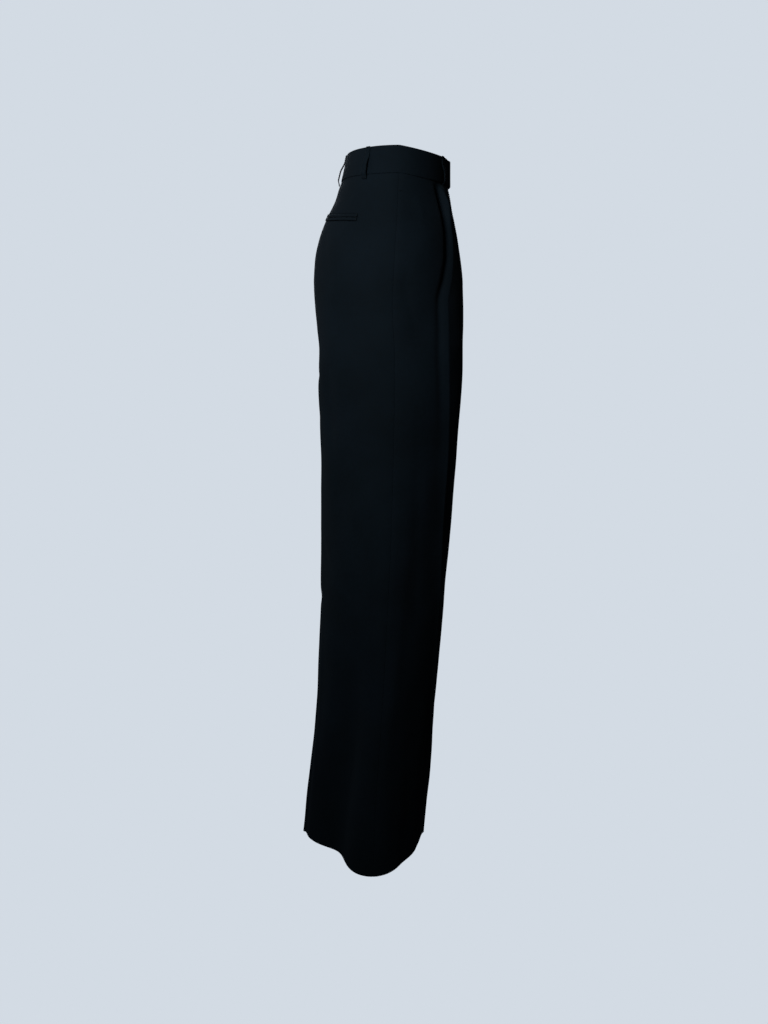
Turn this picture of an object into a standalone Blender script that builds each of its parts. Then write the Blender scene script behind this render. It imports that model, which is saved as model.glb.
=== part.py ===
"""Palazzo trousers: high waist, one reverse pleat and a pressed crease on each front, wide straight legs.

The trousers keep the hollow form that they have when worn. +Z is up, -Y is the wearer's front and -X the wearer's
right. The origin is the centre of the waist opening, level with the waistband's top edge.

Every cloth piece is an open sheet with a Solidify wall, and every sheet is laid on one trouser surface. A place
on that surface is a side (right or left), a drop below the waistband's top edge and an angle round the leg: 0 is
the side seam, 90 the front, -90 the back and 180 the inseam. RINGS gives the surface's sizes, and CREASES and
FOLDS give what is pressed and draped into it. Above the crotch a ring ends at the centre seam.
"""

import math
from collections import namedtuple

import bmesh
import bpy
from mathutils import Matrix, Vector

# ---------------------------------------------------------------- sizes, in metres
MM = 0.001
OUTSEAM = 1.100
BAND_HEIGHT = 0.040
CROTCH_DROP = 0.300
HIP_DROP = 0.250
KNEE_DROP = 0.620

CLOTH = 0.0015
BAND_CLOTH = 0.0024
GAP = 0.0003

WAIST_DIP = 0.009
DIP_ANGLE = 60
HEM_LIFT = 0.017
BAND_ROWS = 3
NEAR_SEAM = 1.5
LAP = 0.036
HOOK_THICK = 0.0008

# ---------------------------------------------------------------- the trouser surface, in millimetres
# axis_out and side_out: how far from the centre plane the ring's middle and the side seam are.
# seam, front, back: how far behind the waist's centre the side seam, the front and the back are.
# pinch: 1 is an ellipse, less squares that half of the ring and more draws it to a point.
Ring = namedtuple("Ring", "drop axis_out side_out seam front back pinch_front pinch_back")
CLEARANCE = (GAP + CLOTH) / 2 / MM
SIDE_AT_CROTCH = 186
RINGS = [
    Ring(0, 0, 120, -2, -79.5, 78, 1.0, 1.0),
    Ring(40, 1, 123, -2, -80, 87.5, 1.0, 1.0),
    Ring(54, 4, 127.5, -1, -81.5, 92.5, 0.99, 1.0),
    Ring(70, 8, 133, 0, -83, 97.5, 0.97, 1.0),
    Ring(100, 16, 144, 1, -89, 112, 0.94, 0.98),
    Ring(130, 24, 153, 3, -95, 122, 0.92, 0.95),
    Ring(165, 32, 161, 5, -100, 129, 0.9, 0.92),
    Ring(200, 41, 168.5, 7, -103, 131, 0.88, 0.9),
    Ring(235, 52, 175, 8, -104, 129, 0.86, 0.88),
    Ring(268, 71, 180.5, 7, -103, 125, 0.88, 0.9),
    Ring(CROTCH_DROP / MM, (SIDE_AT_CROTCH + CLEARANCE) / 2, SIDE_AT_CROTCH, 5, -101, 121, 0.96, 0.98),
    Ring(345, 98, 192.5, 5, -100, 122, 1.0, 1.02),
    Ring(420, 103, 201, 6, -95.5, 119, 1.0, 1.05),
    Ring(540, 110, 213, 9, -86.5, 117, 1.03, 1.1),
    Ring(700, 118, 226, 16, -74, 119, 1.05, 1.2),
    Ring(860, 124, 236.5, 25, -61, 125, 1.05, 1.3),
    Ring(980, 128, 243, 33, -51, 136, 1.05, 1.4),
    Ring(OUTSEAM / MM, 132, 248, 38, -40, 149, 1.1, 1.45),
]

# The pressed creases. ridge stands out at the crease line, trough lies just outside it, where the front pleat
# opens below the waistband. reach is how far the ridge runs on towards the front.
Crease = namedtuple("Crease", "drop angle ridge trough reach")
FRONT_CREASE = [
    Crease(42, 53, 0, 0, 40),
    Crease(54, 56, 6, 6, 34),
    Crease(80, 60, 12, 11, 30),
    Crease(110, 61, 10, 10, 30),
    Crease(150, 58, 8, 8, 26),
    Crease(190, 52, 7, 6, 24),
    Crease(230, 46, 6, 4, 22),
    Crease(300, 47, 6, 3, 22),
    Crease(420, 51, 6, 1, 22),
    Crease(560, 52, 6, 0, 22),
    Crease(700, 58, 5, 0, 20),
    Crease(860, 68, 4, 0, 16),
    Crease(980, 80, 4, 0, 12),
    Crease(OUTSEAM / MM, 88, 5, 0, 10),
]
BACK_CREASE = [
    Crease(300, 78, 0, 0, 20),
    Crease(460, 84, 2, 0, 18),
    Crease(700, 88, 3, 0, 14),
    Crease(OUTSEAM / MM, 92, 5, 0, 10),
]
TROUGH_OFFSET = 14.0
TROUGH_WIDTH = 7.0
RIDGE_FALL = 9.0

# The draped folds. depth is out (+) or in (-), and width is in degrees to each side of the fold's line.
# A fold that isn't open at the hem fades out at both ends. The last two columns scale it on each leg.
Fold = namedtuple("Fold", "top bottom top_angle bottom_angle depth width open_hem right left")
FOLDS = [
    Fold(640, 1100, -26, -38, -38, 18, True, 1.0, 0.8),
    Fold(600, 1100, -152, -146, -20, 17, True, 1.0, 1.3),
    Fold(400, 1100, 124, 128, -11, 17, True, 1.0, 0.8),
    Fold(760, 1100, 34, 40, -3.5, 12, True, 1.0, 1.6),
    Fold(500, 930, 3, 6, 3.5, 13, False, 1.0, 0.7),
    Fold(285, 500, -112, -102, -7, 11, False, 1.0, 0.8),
    Fold(300, 470, -62, -54, -4, 9, False, 1.0, 1.3),
    Fold(330, 640, -46, -40, -4, 12, False, 0.8, 1.0),
    Fold(310, 600, 112, 108, -5, 10, False, 1.0, 1.2),
]
EDGE_FADE = 16.0

# ---------------------------------------------------------------- rows of mesh, from one drop to the next
Stretch = namedtuple("Stretch", "bottom rows")
STRETCHES = [
    Stretch(0.0425, 1),
    Stretch(0.060, 2),
    Stretch(0.130, 4),
    Stretch(0.240, 4),
    Stretch(0.280, 2),
    Stretch(CROTCH_DROP, 3),
    Stretch(0.345, 2),
    Stretch(0.450, 2),
    Stretch(OUTSEAM, 12),
]


def eased(fraction):
    """0 to 1 with a soft start and end, held at 0 and 1 outside."""
    t = min(1.0, max(0.0, fraction))
    return t * t * (3 - 2 * t)


def slope_at(rows, column, index):
    """Slope of a table's curve at one of its rows. It is 0 where the column turns, so nothing overshoots."""
    near = rows[max(0, index - 1):index + 2]
    rises = [(getattr(b, column) - getattr(a, column)) / (b.drop - a.drop) for a, b in zip(near, near[1:])]
    if rises[0] * rises[-1] <= 0:
        return 0.0
    return 2 * rises[0] * rises[-1] / (rises[0] + rises[-1])


def read(rows, column, drop):
    """A table's column at a drop in metres, on a smooth curve through its rows."""
    at = min(max(drop / MM, rows[0].drop), rows[-1].drop)
    last = len(rows) - 2
    index = next((i for i in range(last) if at <= rows[i + 1].drop), last)
    here, there = rows[index], rows[index + 1]
    run = there.drop - here.drop
    t = (at - here.drop) / run
    start, end = getattr(here, column), getattr(there, column)
    start_slope = slope_at(rows, column, index) * run
    end_slope = slope_at(rows, column, index + 1) * run
    bend = start_slope * (t - 1) ** 2 * t + end_slope * (t - 1) * t * t
    return start + (end - start) * eased(t) + bend


def half_width(drop):
    """From a ring's middle to the side seam, in millimetres."""
    return read(RINGS, "side_out", drop) - read(RINGS, "axis_out", drop)


def inner_angle(drop, half):
    """Angle of the front or back half's inner end: the centre seam above the crotch, the inseam at 180 below it."""
    axis_out = read(RINGS, "axis_out", drop)
    half_wide = half_width(drop)
    turned_in = min(1.0, axis_out / half_wide)
    clear = (GAP / 2 + CLOTH / 2 * turned_in) / MM
    reach = (axis_out - clear) / half_wide
    if reach >= 0.9999:
        return 180.0
    cosine = math.copysign(abs(reach) ** (1 / read(RINGS, "pinch_" + half, drop)), reach)
    return math.degrees(math.acos(-cosine))


def press(rows, drop, angle, millimetres_per_degree):
    """How far a pressed crease moves the cloth out at an angle, in millimetres."""
    across = (angle - read(rows, "angle", drop)) * millimetres_per_degree
    fall = read(rows, "reach", drop) if across > 0 else RIDGE_FALL
    ridge = read(rows, "ridge", drop) * math.exp(-abs(across) / fall)
    off_trough = (across + TROUGH_OFFSET) / TROUGH_WIDTH
    return ridge - read(rows, "trough", drop) * math.exp(-off_trough ** 2)


def drape(side, drop, angle):
    """How far the draped folds move the cloth out at a place, in millimetres."""
    moved = 0.0
    for fold in FOLDS:
        along = (drop / MM - fold.top) / (fold.bottom - fold.top)
        if not 0 < along <= 1:
            continue
        line = fold.top_angle + (fold.bottom_angle - fold.top_angle) * along
        strength = eased(along * 1.4) if fold.open_hem else math.sin(math.pi * along) ** 2
        across = (angle - line) / fold.width
        moved += fold.depth * getattr(fold, side) * strength * math.exp(-across * across)
    return moved


def height(drop, angle):
    """World height of a place: the waist dips at the front, and the hem rises from the side seam to the creases."""
    to_front = math.sin(math.radians(90 * min(1.0, max(0.0, angle / DIP_ANGLE))))
    dip = WAIST_DIP * to_front * (1 - eased(drop / HIP_DROP))
    to_hem = eased((drop - KNEE_DROP) / (OUTSEAM - KNEE_DROP))
    return -drop - dip + HEM_LIFT * to_hem * eased(abs(angle) / 90)


def surface(side, drop, angle):
    """The point of the trouser surface at a place, in metres."""
    axis_out = read(RINGS, "axis_out", drop)
    half_wide = half_width(drop)
    seam = read(RINGS, "seam", drop)
    half = "front" if angle > 0 else "back"
    edge = read(RINGS, half, drop)
    pinch = read(RINGS, "pinch_" + half, drop)
    half_deep = abs(edge - seam)
    cosine, sine = math.cos(math.radians(angle)), math.sin(math.radians(angle))
    outward = math.copysign(abs(cosine) ** pinch, cosine)

    around = math.radians(math.hypot(half_wide * sine, half_deep * cosine))
    fade = eased((inner_angle(drop, half) - abs(angle)) / EDGE_FADE)
    crease = FRONT_CREASE if angle > 0 else BACK_CREASE
    moved = fade * (press(crease, drop, abs(angle), around) + drape(side, drop, angle))
    facing = Vector((cosine * half_deep, sine * half_wide)).normalized()

    x = axis_out + half_wide * outward + moved * facing.x
    y = seam - half_deep * sine - moved * facing.y
    mirror = -1 if side == "right" else 1
    return Vector((mirror * x * MM, y * MM, height(drop, angle)))


def lifted(side, drop, angle, lift):
    """A place on the surface, moved straight out of the cloth by lift, or into the hollow if it is negative."""
    step_angle, step_drop = 0.6, 0.0012
    around = surface(side, drop, angle + step_angle) - surface(side, drop, angle - step_angle)
    down = surface(side, drop + step_drop, angle) - surface(side, drop - step_drop, angle)
    out = down.cross(around).normalized()
    if side == "left":
        out.negate()
    return surface(side, drop, angle) + out * lift


def girdle(drop, angle, lift):
    """A place counted from the right side seam, which carries on over the centre front or back to the left half."""
    inner = inner_angle(drop, "front" if angle > 0 else "back")
    if abs(angle) <= inner:
        return lifted("right", drop, angle, lift)
    return lifted("left", drop, math.copysign(2 * inner, angle) - angle, lift)


def behind_front(across, drop, depth):
    """A point behind the centre front: across is its x, and depth how far behind the cloth's middle it lies."""
    inward = (read(RINGS, "axis_out", drop) - abs(across) / MM) / half_width(drop)
    cosine = math.copysign(abs(inward) ** (1 / read(RINGS, "pinch_front", drop)), inward)
    angle = math.degrees(math.acos(-cosine))
    point = surface("right", drop, min(angle, inner_angle(drop, "front")))
    return Vector((across, point.y + depth, point.z))


# ---------------------------------------------------------------- making pieces
def spread(start, end, steps):
    """steps + 1 even values from start to end."""
    return [start + (end - start) * i / steps for i in range(steps + 1)]


def finish(name, colour, roughness, metallic=0.0):
    """A plain material for a piece."""
    material = bpy.data.materials.get(name) or bpy.data.materials.new(name)
    material.use_nodes = True
    shader = material.node_tree.nodes["Principled BSDF"]
    shader.inputs["Base Color"].default_value = (*colour, 1.0)
    shader.inputs["Roughness"].default_value = roughness
    shader.inputs["Metallic"].default_value = metallic
    return material


def suiting():
    return finish("black_suiting", (0.007, 0.010, 0.013), 0.85)


def zip_tape():
    return finish("black_zip_tape", (0.006, 0.007, 0.008), 0.8)


def dark_metal():
    return finish("dark_metal", (0.05, 0.05, 0.055), 0.35, 1.0)


def place(name, mesh, material):
    """Links a mesh object into the trousers' collection."""
    piece = bpy.data.objects.new(name, mesh)
    piece.data.materials.append(material)
    TROUSERS.objects.link(piece)
    return piece


def sheet(name, points, wall, material):
    """A cloth piece: rows of points joined into a sheet, with a wall half on each side of them."""
    cloth = bmesh.new()
    grid = [[cloth.verts.new(point) for point in row] for row in points]
    for upper, lower in zip(grid, grid[1:]):
        for left in range(len(upper) - 1):
            cloth.faces.new((upper[left], lower[left], lower[left + 1], upper[left + 1]))
    bmesh.ops.triangulate(cloth, faces=cloth.faces, quad_method="SHORT_EDGE")
    mesh = bpy.data.meshes.new(name)
    cloth.to_mesh(mesh)
    cloth.free()
    mesh.shade_smooth()
    piece = place(name, mesh, material)
    solidify = piece.modifiers.new("wall", "SOLIDIFY")
    solidify.thickness = wall
    solidify.offset = 0
    return piece


def panel_drops():
    """The drops of a panel's rows, from just under the waistband to the hem."""
    drops = [BAND_HEIGHT + GAP]
    for stretch in STRETCHES:
        drops += spread(drops[-1], stretch.bottom, stretch.rows)[1:]
    return drops


def seam_angle(drop, edge):
    """The angle that leaves half a seam's gap to the side seam or inseam. edge is front or back."""
    half_deep = abs(read(RINGS, edge, drop) - read(RINGS, "seam", drop)) * MM
    return math.degrees(GAP / 2 / half_deep)


def toward_seam(start, seam, steps):
    """steps + 1 values from start to a seam, closer together near the seam, so that the edges there meet squarely."""
    return [start + (seam - start) * math.sin(math.pi / 2 * i / steps) for i in range(steps + 1)]


def front_angles(drop):
    """A front panel's columns: side seam, trough, crease, then round to the centre seam or inseam."""
    inner = inner_angle(drop, "front")
    seam = seam_angle(drop, "front")
    crease = read(FRONT_CREASE, "angle", drop)
    widen = 1 + 1.6 * eased((drop - HIP_DROP) / (OUTSEAM - HIP_DROP))
    outer = toward_seam(crease - 16 * widen, seam, 3)[::-1]
    pressed = [crease - 8 * widen, crease - 3 * widen, crease]
    return outer + pressed + toward_seam(crease + 5, inner - (seam if inner == 180 else 0), 6)


def back_angles(drop):
    """A back panel's columns: side seam, back crease, then round to the centre seam or inseam."""
    inner = inner_angle(drop, "back")
    seam = seam_angle(drop, "back")
    crease = read(BACK_CREASE, "angle", drop)
    outer = toward_seam(crease, seam, 7)[::-1]
    return [-angle for angle in outer + toward_seam(crease, inner - (seam if inner == 180 else 0), 6)[1:]]


def panel(name, side, columns):
    points = [[surface(side, drop, angle) for angle in columns(drop)] for drop in panel_drops()]
    return sheet(name, points, CLOTH, suiting())


def between(values, value):
    """The index of the step that holds a value in a list that runs one way, and how far along that step it is."""
    for index in range(len(values) - 1):
        start, end = values[index], values[index + 1]
        if (start - value) * (end - value) <= 0:
            return index, (value - start) / (end - start)
    return len(values) - 2, 1.0


def on_panel(side, drop, angle, lift):
    """A place on a panel's own flat facets, moved out of the cloth by lift. What lies on a panel is made of these."""
    columns = front_angles if angle > 0 else back_angles
    drops = panel_drops()
    row, down = between(drops, drop)
    above, below = columns(drops[row]), columns(drops[row + 1])
    column, across = between([a + (b - a) * down for a, b in zip(above, below)], angle)
    corners = [[surface(side, at, angles[i]) for i in (column, column + 1)]
               for at, angles in ((drops[row], above), (drops[row + 1], below))]
    upper, lower = [start.lerp(end, across) for start, end in corners]
    out = lifted(side, drop, angle, 1) - surface(side, drop, angle)
    return upper.lerp(lower, down) + out * lift


def legs():
    for side in ("right", "left"):
        panel("front_" + side, side, front_angles)
        panel("back_" + side, side, back_angles)


def waistband():
    """Two halves, sewn at the centre back. The right one laps over the left one's end at the centre front."""
    over = BAND_CLOTH + HOOK_THICK + 2 * GAP
    lap = math.degrees(LAP / (half_width(0) * MM))
    ramp = lap / 3
    panel_columns = back_angles(BAND_HEIGHT) + front_angles(BAND_HEIGHT)
    middle = sorted([0] + [angle for angle in panel_columns if NEAR_SEAM < abs(angle) < 90 - NEAR_SEAM])
    left, right = [], []
    for drop in spread(0, BAND_HEIGHT, BAND_ROWS):
        back, front = inner_angle(drop, "back"), inner_angle(drop, "front")
        left.append([lifted("left", drop, angle, 0) for angle in [-back, *middle, front]])
        rise_from = front - 2 * ramp
        angles = [-back] + [angle for angle in middle if angle < rise_from - NEAR_SEAM]
        angles += [rise_from, front - ramp] + spread(front - NEAR_SEAM, front + lap, 4)
        right.append([girdle(drop, angle, over * eased((angle - rise_from) / (2 * ramp - NEAR_SEAM)))
                      for angle in angles])
    sheet("waistband_left", left, BAND_CLOTH, suiting())
    sheet("waistband_right", right, BAND_CLOTH, suiting())


# ---------------------------------------------------------------- belt loops
LOOP_WIDTH = 0.010
LOOP_CLOTH = 0.0016
LOOP_STAND = 0.0027
LOOP_LEAVES = 0.009
LOOP_OPENS = 0.018
LOOP_TOP = -0.0005
LOOP_BOTTOM = 0.047
LOOP_TURN = 0.009
Loop = namedtuple("Loop", "name angle")
LOOPS = [
    Loop("belt_loop_back", -90),
    Loop("belt_loop_side_right", -34),
    Loop("belt_loop_side_left", -146),
    Loop("belt_loop_front_right", 58),
    Loop("belt_loop_front_left", 122),
]


def loop_lift(drop):
    """How far a belt loop's middle stands out: flat on the band at first, then clear of it, then back in."""
    held = BAND_CLOTH / 2 + GAP + LOOP_CLOTH / 2
    leaving = eased((drop - LOOP_LEAVES) / LOOP_OPENS)
    return held + LOOP_STAND * leaving * eased((LOOP_BOTTOM - drop) / LOOP_TURN)


def belt_loops():
    half_angle = math.degrees(LOOP_WIDTH / 2 / (100 * MM))
    on_band = spread(0, BAND_HEIGHT, 2 * BAND_ROWS)[1:-1]
    drops = [LOOP_TOP] + on_band + spread(LOOP_BOTTOM - LOOP_TURN, LOOP_BOTTOM, 3)
    for loop in LOOPS:
        angles = spread(loop.angle - half_angle, loop.angle + half_angle, 2)
        points = [[girdle(max(drop, 0), angle, loop_lift(drop)) - Vector((0, 0, min(drop, 0)))
                   for angle in angles] for drop in drops]
        sheet(loop.name, points, LOOP_CLOTH, suiting())


# ---------------------------------------------------------------- pockets
LIP_HEIGHT = 0.0048
LIP_CLOTH = 0.0014
POCKET_DROP = 0.104
POCKET_RISE = 0.007
POCKET_OUTER, POCKET_INNER = -32, -84
MOUTH_TOP, MOUTH_BOTTOM = 0.066, 0.236
FACING_CLOTH = 0.001


def back_pockets():
    """Each back pocket is a slit with a lip above and a lip below, which lie on the back panel."""
    lift = CLOTH / 2 + LIP_CLOTH / 2 + 1.5 * GAP
    folds = [angle for angle in back_angles(POCKET_DROP) if POCKET_INNER < angle < POCKET_OUTER]
    angles = [POCKET_OUTER, *folds, POCKET_INNER]
    for lip, shift in (("upper", -LIP_HEIGHT - GAP / 2), ("lower", GAP / 2)):
        for side in ("right", "left"):
            points = []
            for down in spread(shift, shift + LIP_HEIGHT, 2):
                across = [(a - POCKET_OUTER) / (POCKET_INNER - POCKET_OUTER) for a in angles]
                points.append([on_panel(side, POCKET_DROP + down - POCKET_RISE * t, a, lift)
                               for a, t in zip(angles, across)])
            sheet(f"back_pocket_lip_{lip}_{side}", points, LIP_CLOTH, suiting())


def side_pockets():
    """A facing strip behind each side seam closes the in-seam pocket's mouth."""
    lift = -(CLOTH / 2 + FACING_CLOTH / 2 + 3 * GAP)
    for side in ("right", "left"):
        points = [[on_panel(side, drop, angle, lift) for angle in spread(-6, 8, 2)]
                  for drop in spread(MOUTH_TOP, MOUTH_BOTTOM, 8)]
        sheet("side_pocket_facing_" + side, points, FACING_CLOTH, suiting())


# ---------------------------------------------------------------- fly
FLY_TOP = BAND_HEIGHT + 0.003
ZIP_BOTTOM = 0.200
ZIP_WIDTH, ZIP_CLOTH = 0.024, 0.001
SHIELD_WIDTH, SHIELD_BOTTOM = 0.042, 0.212
SLIDER_WIDTH, SLIDER_HEIGHT, SLIDER_THICK = 0.0072, 0.010, 0.0028
PULL_WIDTH, PULL_LENGTH, PULL_THICK = 0.004, 0.020, 0.0012
SLIDER_DEPTH = CLOTH / 2 + 1.5 * GAP + SLIDER_THICK / 2
ZIP_DEPTH = SLIDER_DEPTH + SLIDER_THICK / 2 + 3 * GAP + ZIP_CLOTH / 2
SHIELD_DEPTH = ZIP_DEPTH + ZIP_CLOTH + 3 * GAP


def fly_strip(name, width, drops, depth, wall, material):
    points = [[behind_front(x, drop, depth) for x in spread(-width / 2, width / 2, 2)] for drop in drops]
    return sheet(name, points, wall, material)


def block(size, middle):
    """A box with eased edges, as a bmesh."""
    shape = bmesh.new()
    bmesh.ops.create_cube(shape, size=1)
    bmesh.ops.scale(shape, vec=size, verts=shape.verts)
    bmesh.ops.bevel(shape, geom=shape.edges, offset=min(size) / 5, segments=1, affect="EDGES")
    bmesh.ops.translate(shape, vec=middle, verts=shape.verts)
    return shape


def as_object(name, shape, material):
    mesh = bpy.data.meshes.new(name)
    shape.to_mesh(mesh)
    shape.free()
    return place(name, mesh, material)


def helper(name, shape):
    """A cutter or a shape to be joined on. It isn't a piece of the trousers."""
    mesh = bpy.data.meshes.new(name)
    shape.to_mesh(mesh)
    shape.free()
    tool = bpy.data.objects.new(name, mesh)
    HELPERS.objects.link(tool)
    tool.hide_render = True
    tool.display_type = "WIRE"
    return tool


def combine(piece, tool, operation):
    boolean = piece.modifiers.new(operation.lower(), "BOOLEAN")
    boolean.operation = operation
    boolean.object = tool


def fly():
    """Behind the centre-front edges: the closed zip with its slider at the top, and the shield behind it."""
    drops = spread(FLY_TOP, ZIP_BOTTOM, 7)
    fly_strip("fly_zip", ZIP_WIDTH, drops, ZIP_DEPTH, ZIP_CLOTH, zip_tape())
    fly_strip("fly_shield", SHIELD_WIDTH, drops + [SHIELD_BOTTOM], SHIELD_DEPTH, FACING_CLOTH, suiting())

    at = behind_front(0, FLY_TOP + SLIDER_HEIGHT, SLIDER_DEPTH)
    down = behind_front(0, FLY_TOP + SLIDER_HEIGHT + PULL_LENGTH, SLIDER_DEPTH) - at
    turned = down.to_track_quat("-Z", "Y").to_matrix().to_4x4()
    slider = as_object("fly_zip_slider", block((SLIDER_WIDTH, SLIDER_THICK, SLIDER_HEIGHT), Vector()), dark_metal())
    slider.matrix_world = Matrix.Translation(at) @ turned
    pull = helper("pull_shape", block((PULL_WIDTH, PULL_THICK, PULL_LENGTH), Vector((0, 0, -PULL_LENGTH / 2))))
    pull.matrix_world = slider.matrix_world
    combine(slider, pull, "UNION")


# ---------------------------------------------------------------- waist hook
HOOK_WIDTH, HOOK_HEIGHT = 0.014, 0.010
HOOK_INSET = 0.010


def waist_hook():
    """The hook and its bar, closed, are one flat metal piece between the lap and the band's end under it."""
    per_metre = 1 / (half_width(0) * MM)
    middle = inner_angle(0, "front") + math.degrees((LAP - HOOK_INSET - HOOK_WIDTH / 2) * per_metre)
    reach = math.degrees(HOOK_WIDTH / 2 * per_metre)
    lift = BAND_CLOTH / 2 + GAP + HOOK_THICK / 2
    points = [[girdle(drop, angle, lift) for angle in spread(middle - reach, middle + reach, 2)]
              for drop in spread(BAND_HEIGHT / 2 - HOOK_HEIGHT / 2, BAND_HEIGHT / 2 + HOOK_HEIGHT / 2, 1)]
    sheet("waist_hook", points, HOOK_THICK, dark_metal())


for old in list(bpy.data.objects):
    bpy.data.objects.remove(old)
TROUSERS = bpy.data.collections.new("palazzo_trousers")
HELPERS = bpy.data.collections.new("helpers")
bpy.context.scene.collection.children.link(TROUSERS)
bpy.context.scene.collection.children.link(HELPERS)

legs()
waistband()
belt_loops()
back_pockets()
side_pockets()
fly()
waist_hook()
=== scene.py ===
# %% [markdown]
# # Palazzo trousers
# High-waisted suiting trousers with wide straight legs, dressed around a plain solid model of them. The solids
# give the sizes and the places. Each cloth piece here is a thin shell on the form of its solid, and carries
# what the plain piece leaves out: folded seam allowances, a turned-up hem, wrinkles, stitches and a real cloth
# finish. First the frame is opened.

# %% Open the frame
import math
from collections import namedtuple

import bpy
import numpy as np
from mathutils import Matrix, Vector


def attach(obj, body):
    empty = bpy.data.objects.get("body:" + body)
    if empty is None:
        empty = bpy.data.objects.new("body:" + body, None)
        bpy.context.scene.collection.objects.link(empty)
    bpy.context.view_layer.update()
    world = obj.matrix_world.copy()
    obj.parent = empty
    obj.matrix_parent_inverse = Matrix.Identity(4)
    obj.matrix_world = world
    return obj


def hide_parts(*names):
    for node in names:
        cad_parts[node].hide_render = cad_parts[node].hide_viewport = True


MM = 0.001
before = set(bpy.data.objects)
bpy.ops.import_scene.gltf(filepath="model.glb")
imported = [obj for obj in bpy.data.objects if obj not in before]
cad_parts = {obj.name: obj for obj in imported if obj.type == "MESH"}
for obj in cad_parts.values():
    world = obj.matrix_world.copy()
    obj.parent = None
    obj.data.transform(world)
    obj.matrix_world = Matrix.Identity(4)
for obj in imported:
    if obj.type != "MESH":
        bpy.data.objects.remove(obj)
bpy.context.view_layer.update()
print("solids:", len(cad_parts))

# %% [markdown]
# ## The form of the trousers
# Every panel is sewn to its neighbours, so all of them have to lie on one form. It could be sculpted, or
# simulated on a body, but then no two seams would meet exactly. Here the form is a rule instead: a ring at
# each drop below the waist, read from a short table on smooth curves. A place is a side, a drop and an angle
# round the leg: 0 is the side seam, 90 the front, -90 the back and 180 the inseam. NumPy works the rule out
# for a whole panel at once.

# %% Sizes and rings
OUTSEAM = 1.100
BAND_HEIGHT = 0.040
CROTCH_DROP = 0.300
HIP_DROP = 0.250
KNEE_DROP = 0.620
SOLID_CLOTH = 0.0015
BAND_CLOTH = 0.0024
GAP = 0.0003
WAIST_DIP = 0.009
DIP_ANGLE = 60
HEM_LIFT = 0.017

Ring = namedtuple("Ring", "drop axis_out side_out seam front back pinch_front pinch_back")
CLEARANCE = (GAP + SOLID_CLOTH) / 2 / MM
SIDE_AT_CROTCH = 186
RINGS = [
    Ring(0, 0, 120, -2, -79.5, 78, 1.0, 1.0),
    Ring(40, 1, 123, -2, -80, 87.5, 1.0, 1.0),
    Ring(54, 4, 127.5, -1, -81.5, 92.5, 0.99, 1.0),
    Ring(70, 8, 133, 0, -83, 97.5, 0.97, 1.0),
    Ring(100, 16, 144, 1, -89, 112, 0.94, 0.98),
    Ring(130, 24, 153, 3, -95, 122, 0.92, 0.95),
    Ring(165, 32, 161, 5, -100, 129, 0.9, 0.92),
    Ring(200, 41, 168.5, 7, -103, 131, 0.88, 0.9),
    Ring(235, 52, 175, 8, -104, 129, 0.86, 0.88),
    Ring(268, 71, 180.5, 7, -103, 125, 0.88, 0.9),
    Ring(CROTCH_DROP / MM, (SIDE_AT_CROTCH + CLEARANCE) / 2, SIDE_AT_CROTCH, 5, -101, 121, 0.96, 0.98),
    Ring(345, 98, 192.5, 5, -100, 122, 1.0, 1.02),
    Ring(420, 103, 201, 6, -95.5, 119, 1.0, 1.05),
    Ring(540, 110, 213, 9, -86.5, 117, 1.03, 1.1),
    Ring(700, 118, 226, 16, -74, 119, 1.05, 1.2),
    Ring(860, 124, 236.5, 25, -61, 125, 1.05, 1.3),
    Ring(980, 128, 243, 33, -51, 136, 1.05, 1.4),
    Ring(OUTSEAM / MM, 132, 248, 38, -40, 149, 1.1, 1.45),
]

print("rings:", len(RINGS))

# %% Creases
Crease = namedtuple("Crease", "drop angle ridge trough reach")
FRONT_CREASE = [
    Crease(42, 53, 0, 0, 40),
    Crease(54, 56, 6, 6, 34),
    Crease(80, 60, 12, 11, 30),
    Crease(110, 61, 10, 10, 30),
    Crease(150, 58, 8, 8, 26),
    Crease(190, 52, 7, 6, 24),
    Crease(230, 46, 6, 4, 22),
    Crease(300, 47, 6, 3, 22),
    Crease(420, 51, 6, 1, 22),
    Crease(560, 52, 6, 0, 22),
    Crease(700, 58, 5, 0, 20),
    Crease(860, 68, 4, 0, 16),
    Crease(980, 80, 4, 0, 12),
    Crease(OUTSEAM / MM, 88, 5, 0, 10),
]
BACK_CREASE = [
    Crease(300, 78, 0, 0, 20),
    Crease(460, 84, 2, 0, 18),
    Crease(700, 88, 3, 0, 14),
    Crease(OUTSEAM / MM, 92, 5, 0, 10),
]
TROUGH_OFFSET = 14.0
TROUGH_WIDTH = 7.0
RIDGE_FALL = 9.0
print("the front crease lies at", [crease.angle for crease in FRONT_CREASE], "degrees on its way down")

# %% Big folds
Fold = namedtuple("Fold", "top bottom top_angle bottom_angle depth width open_hem right left")
FOLDS = [
    Fold(640, 1100, -26, -42, -29, 19, True, 1.0, 0.8),
    Fold(600, 1100, -152, -146, -20, 17, True, 1.0, 1.3),
    Fold(400, 1100, 124, 128, -11, 17, True, 1.0, 0.8),
    Fold(760, 1100, 34, 40, -3.5, 12, True, 1.0, 1.6),
    Fold(500, 930, 3, 6, 3.5, 13, False, 1.0, 0.7),
    Fold(285, 500, -112, -102, -7, 11, False, 1.0, 0.8),
    Fold(300, 470, -62, -54, -4, 9, False, 1.0, 1.3),
    Fold(330, 640, -46, -40, -4, 12, False, 0.8, 1.0),
    Fold(310, 600, 112, 108, -5, 10, False, 1.0, 1.2),
]
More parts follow.
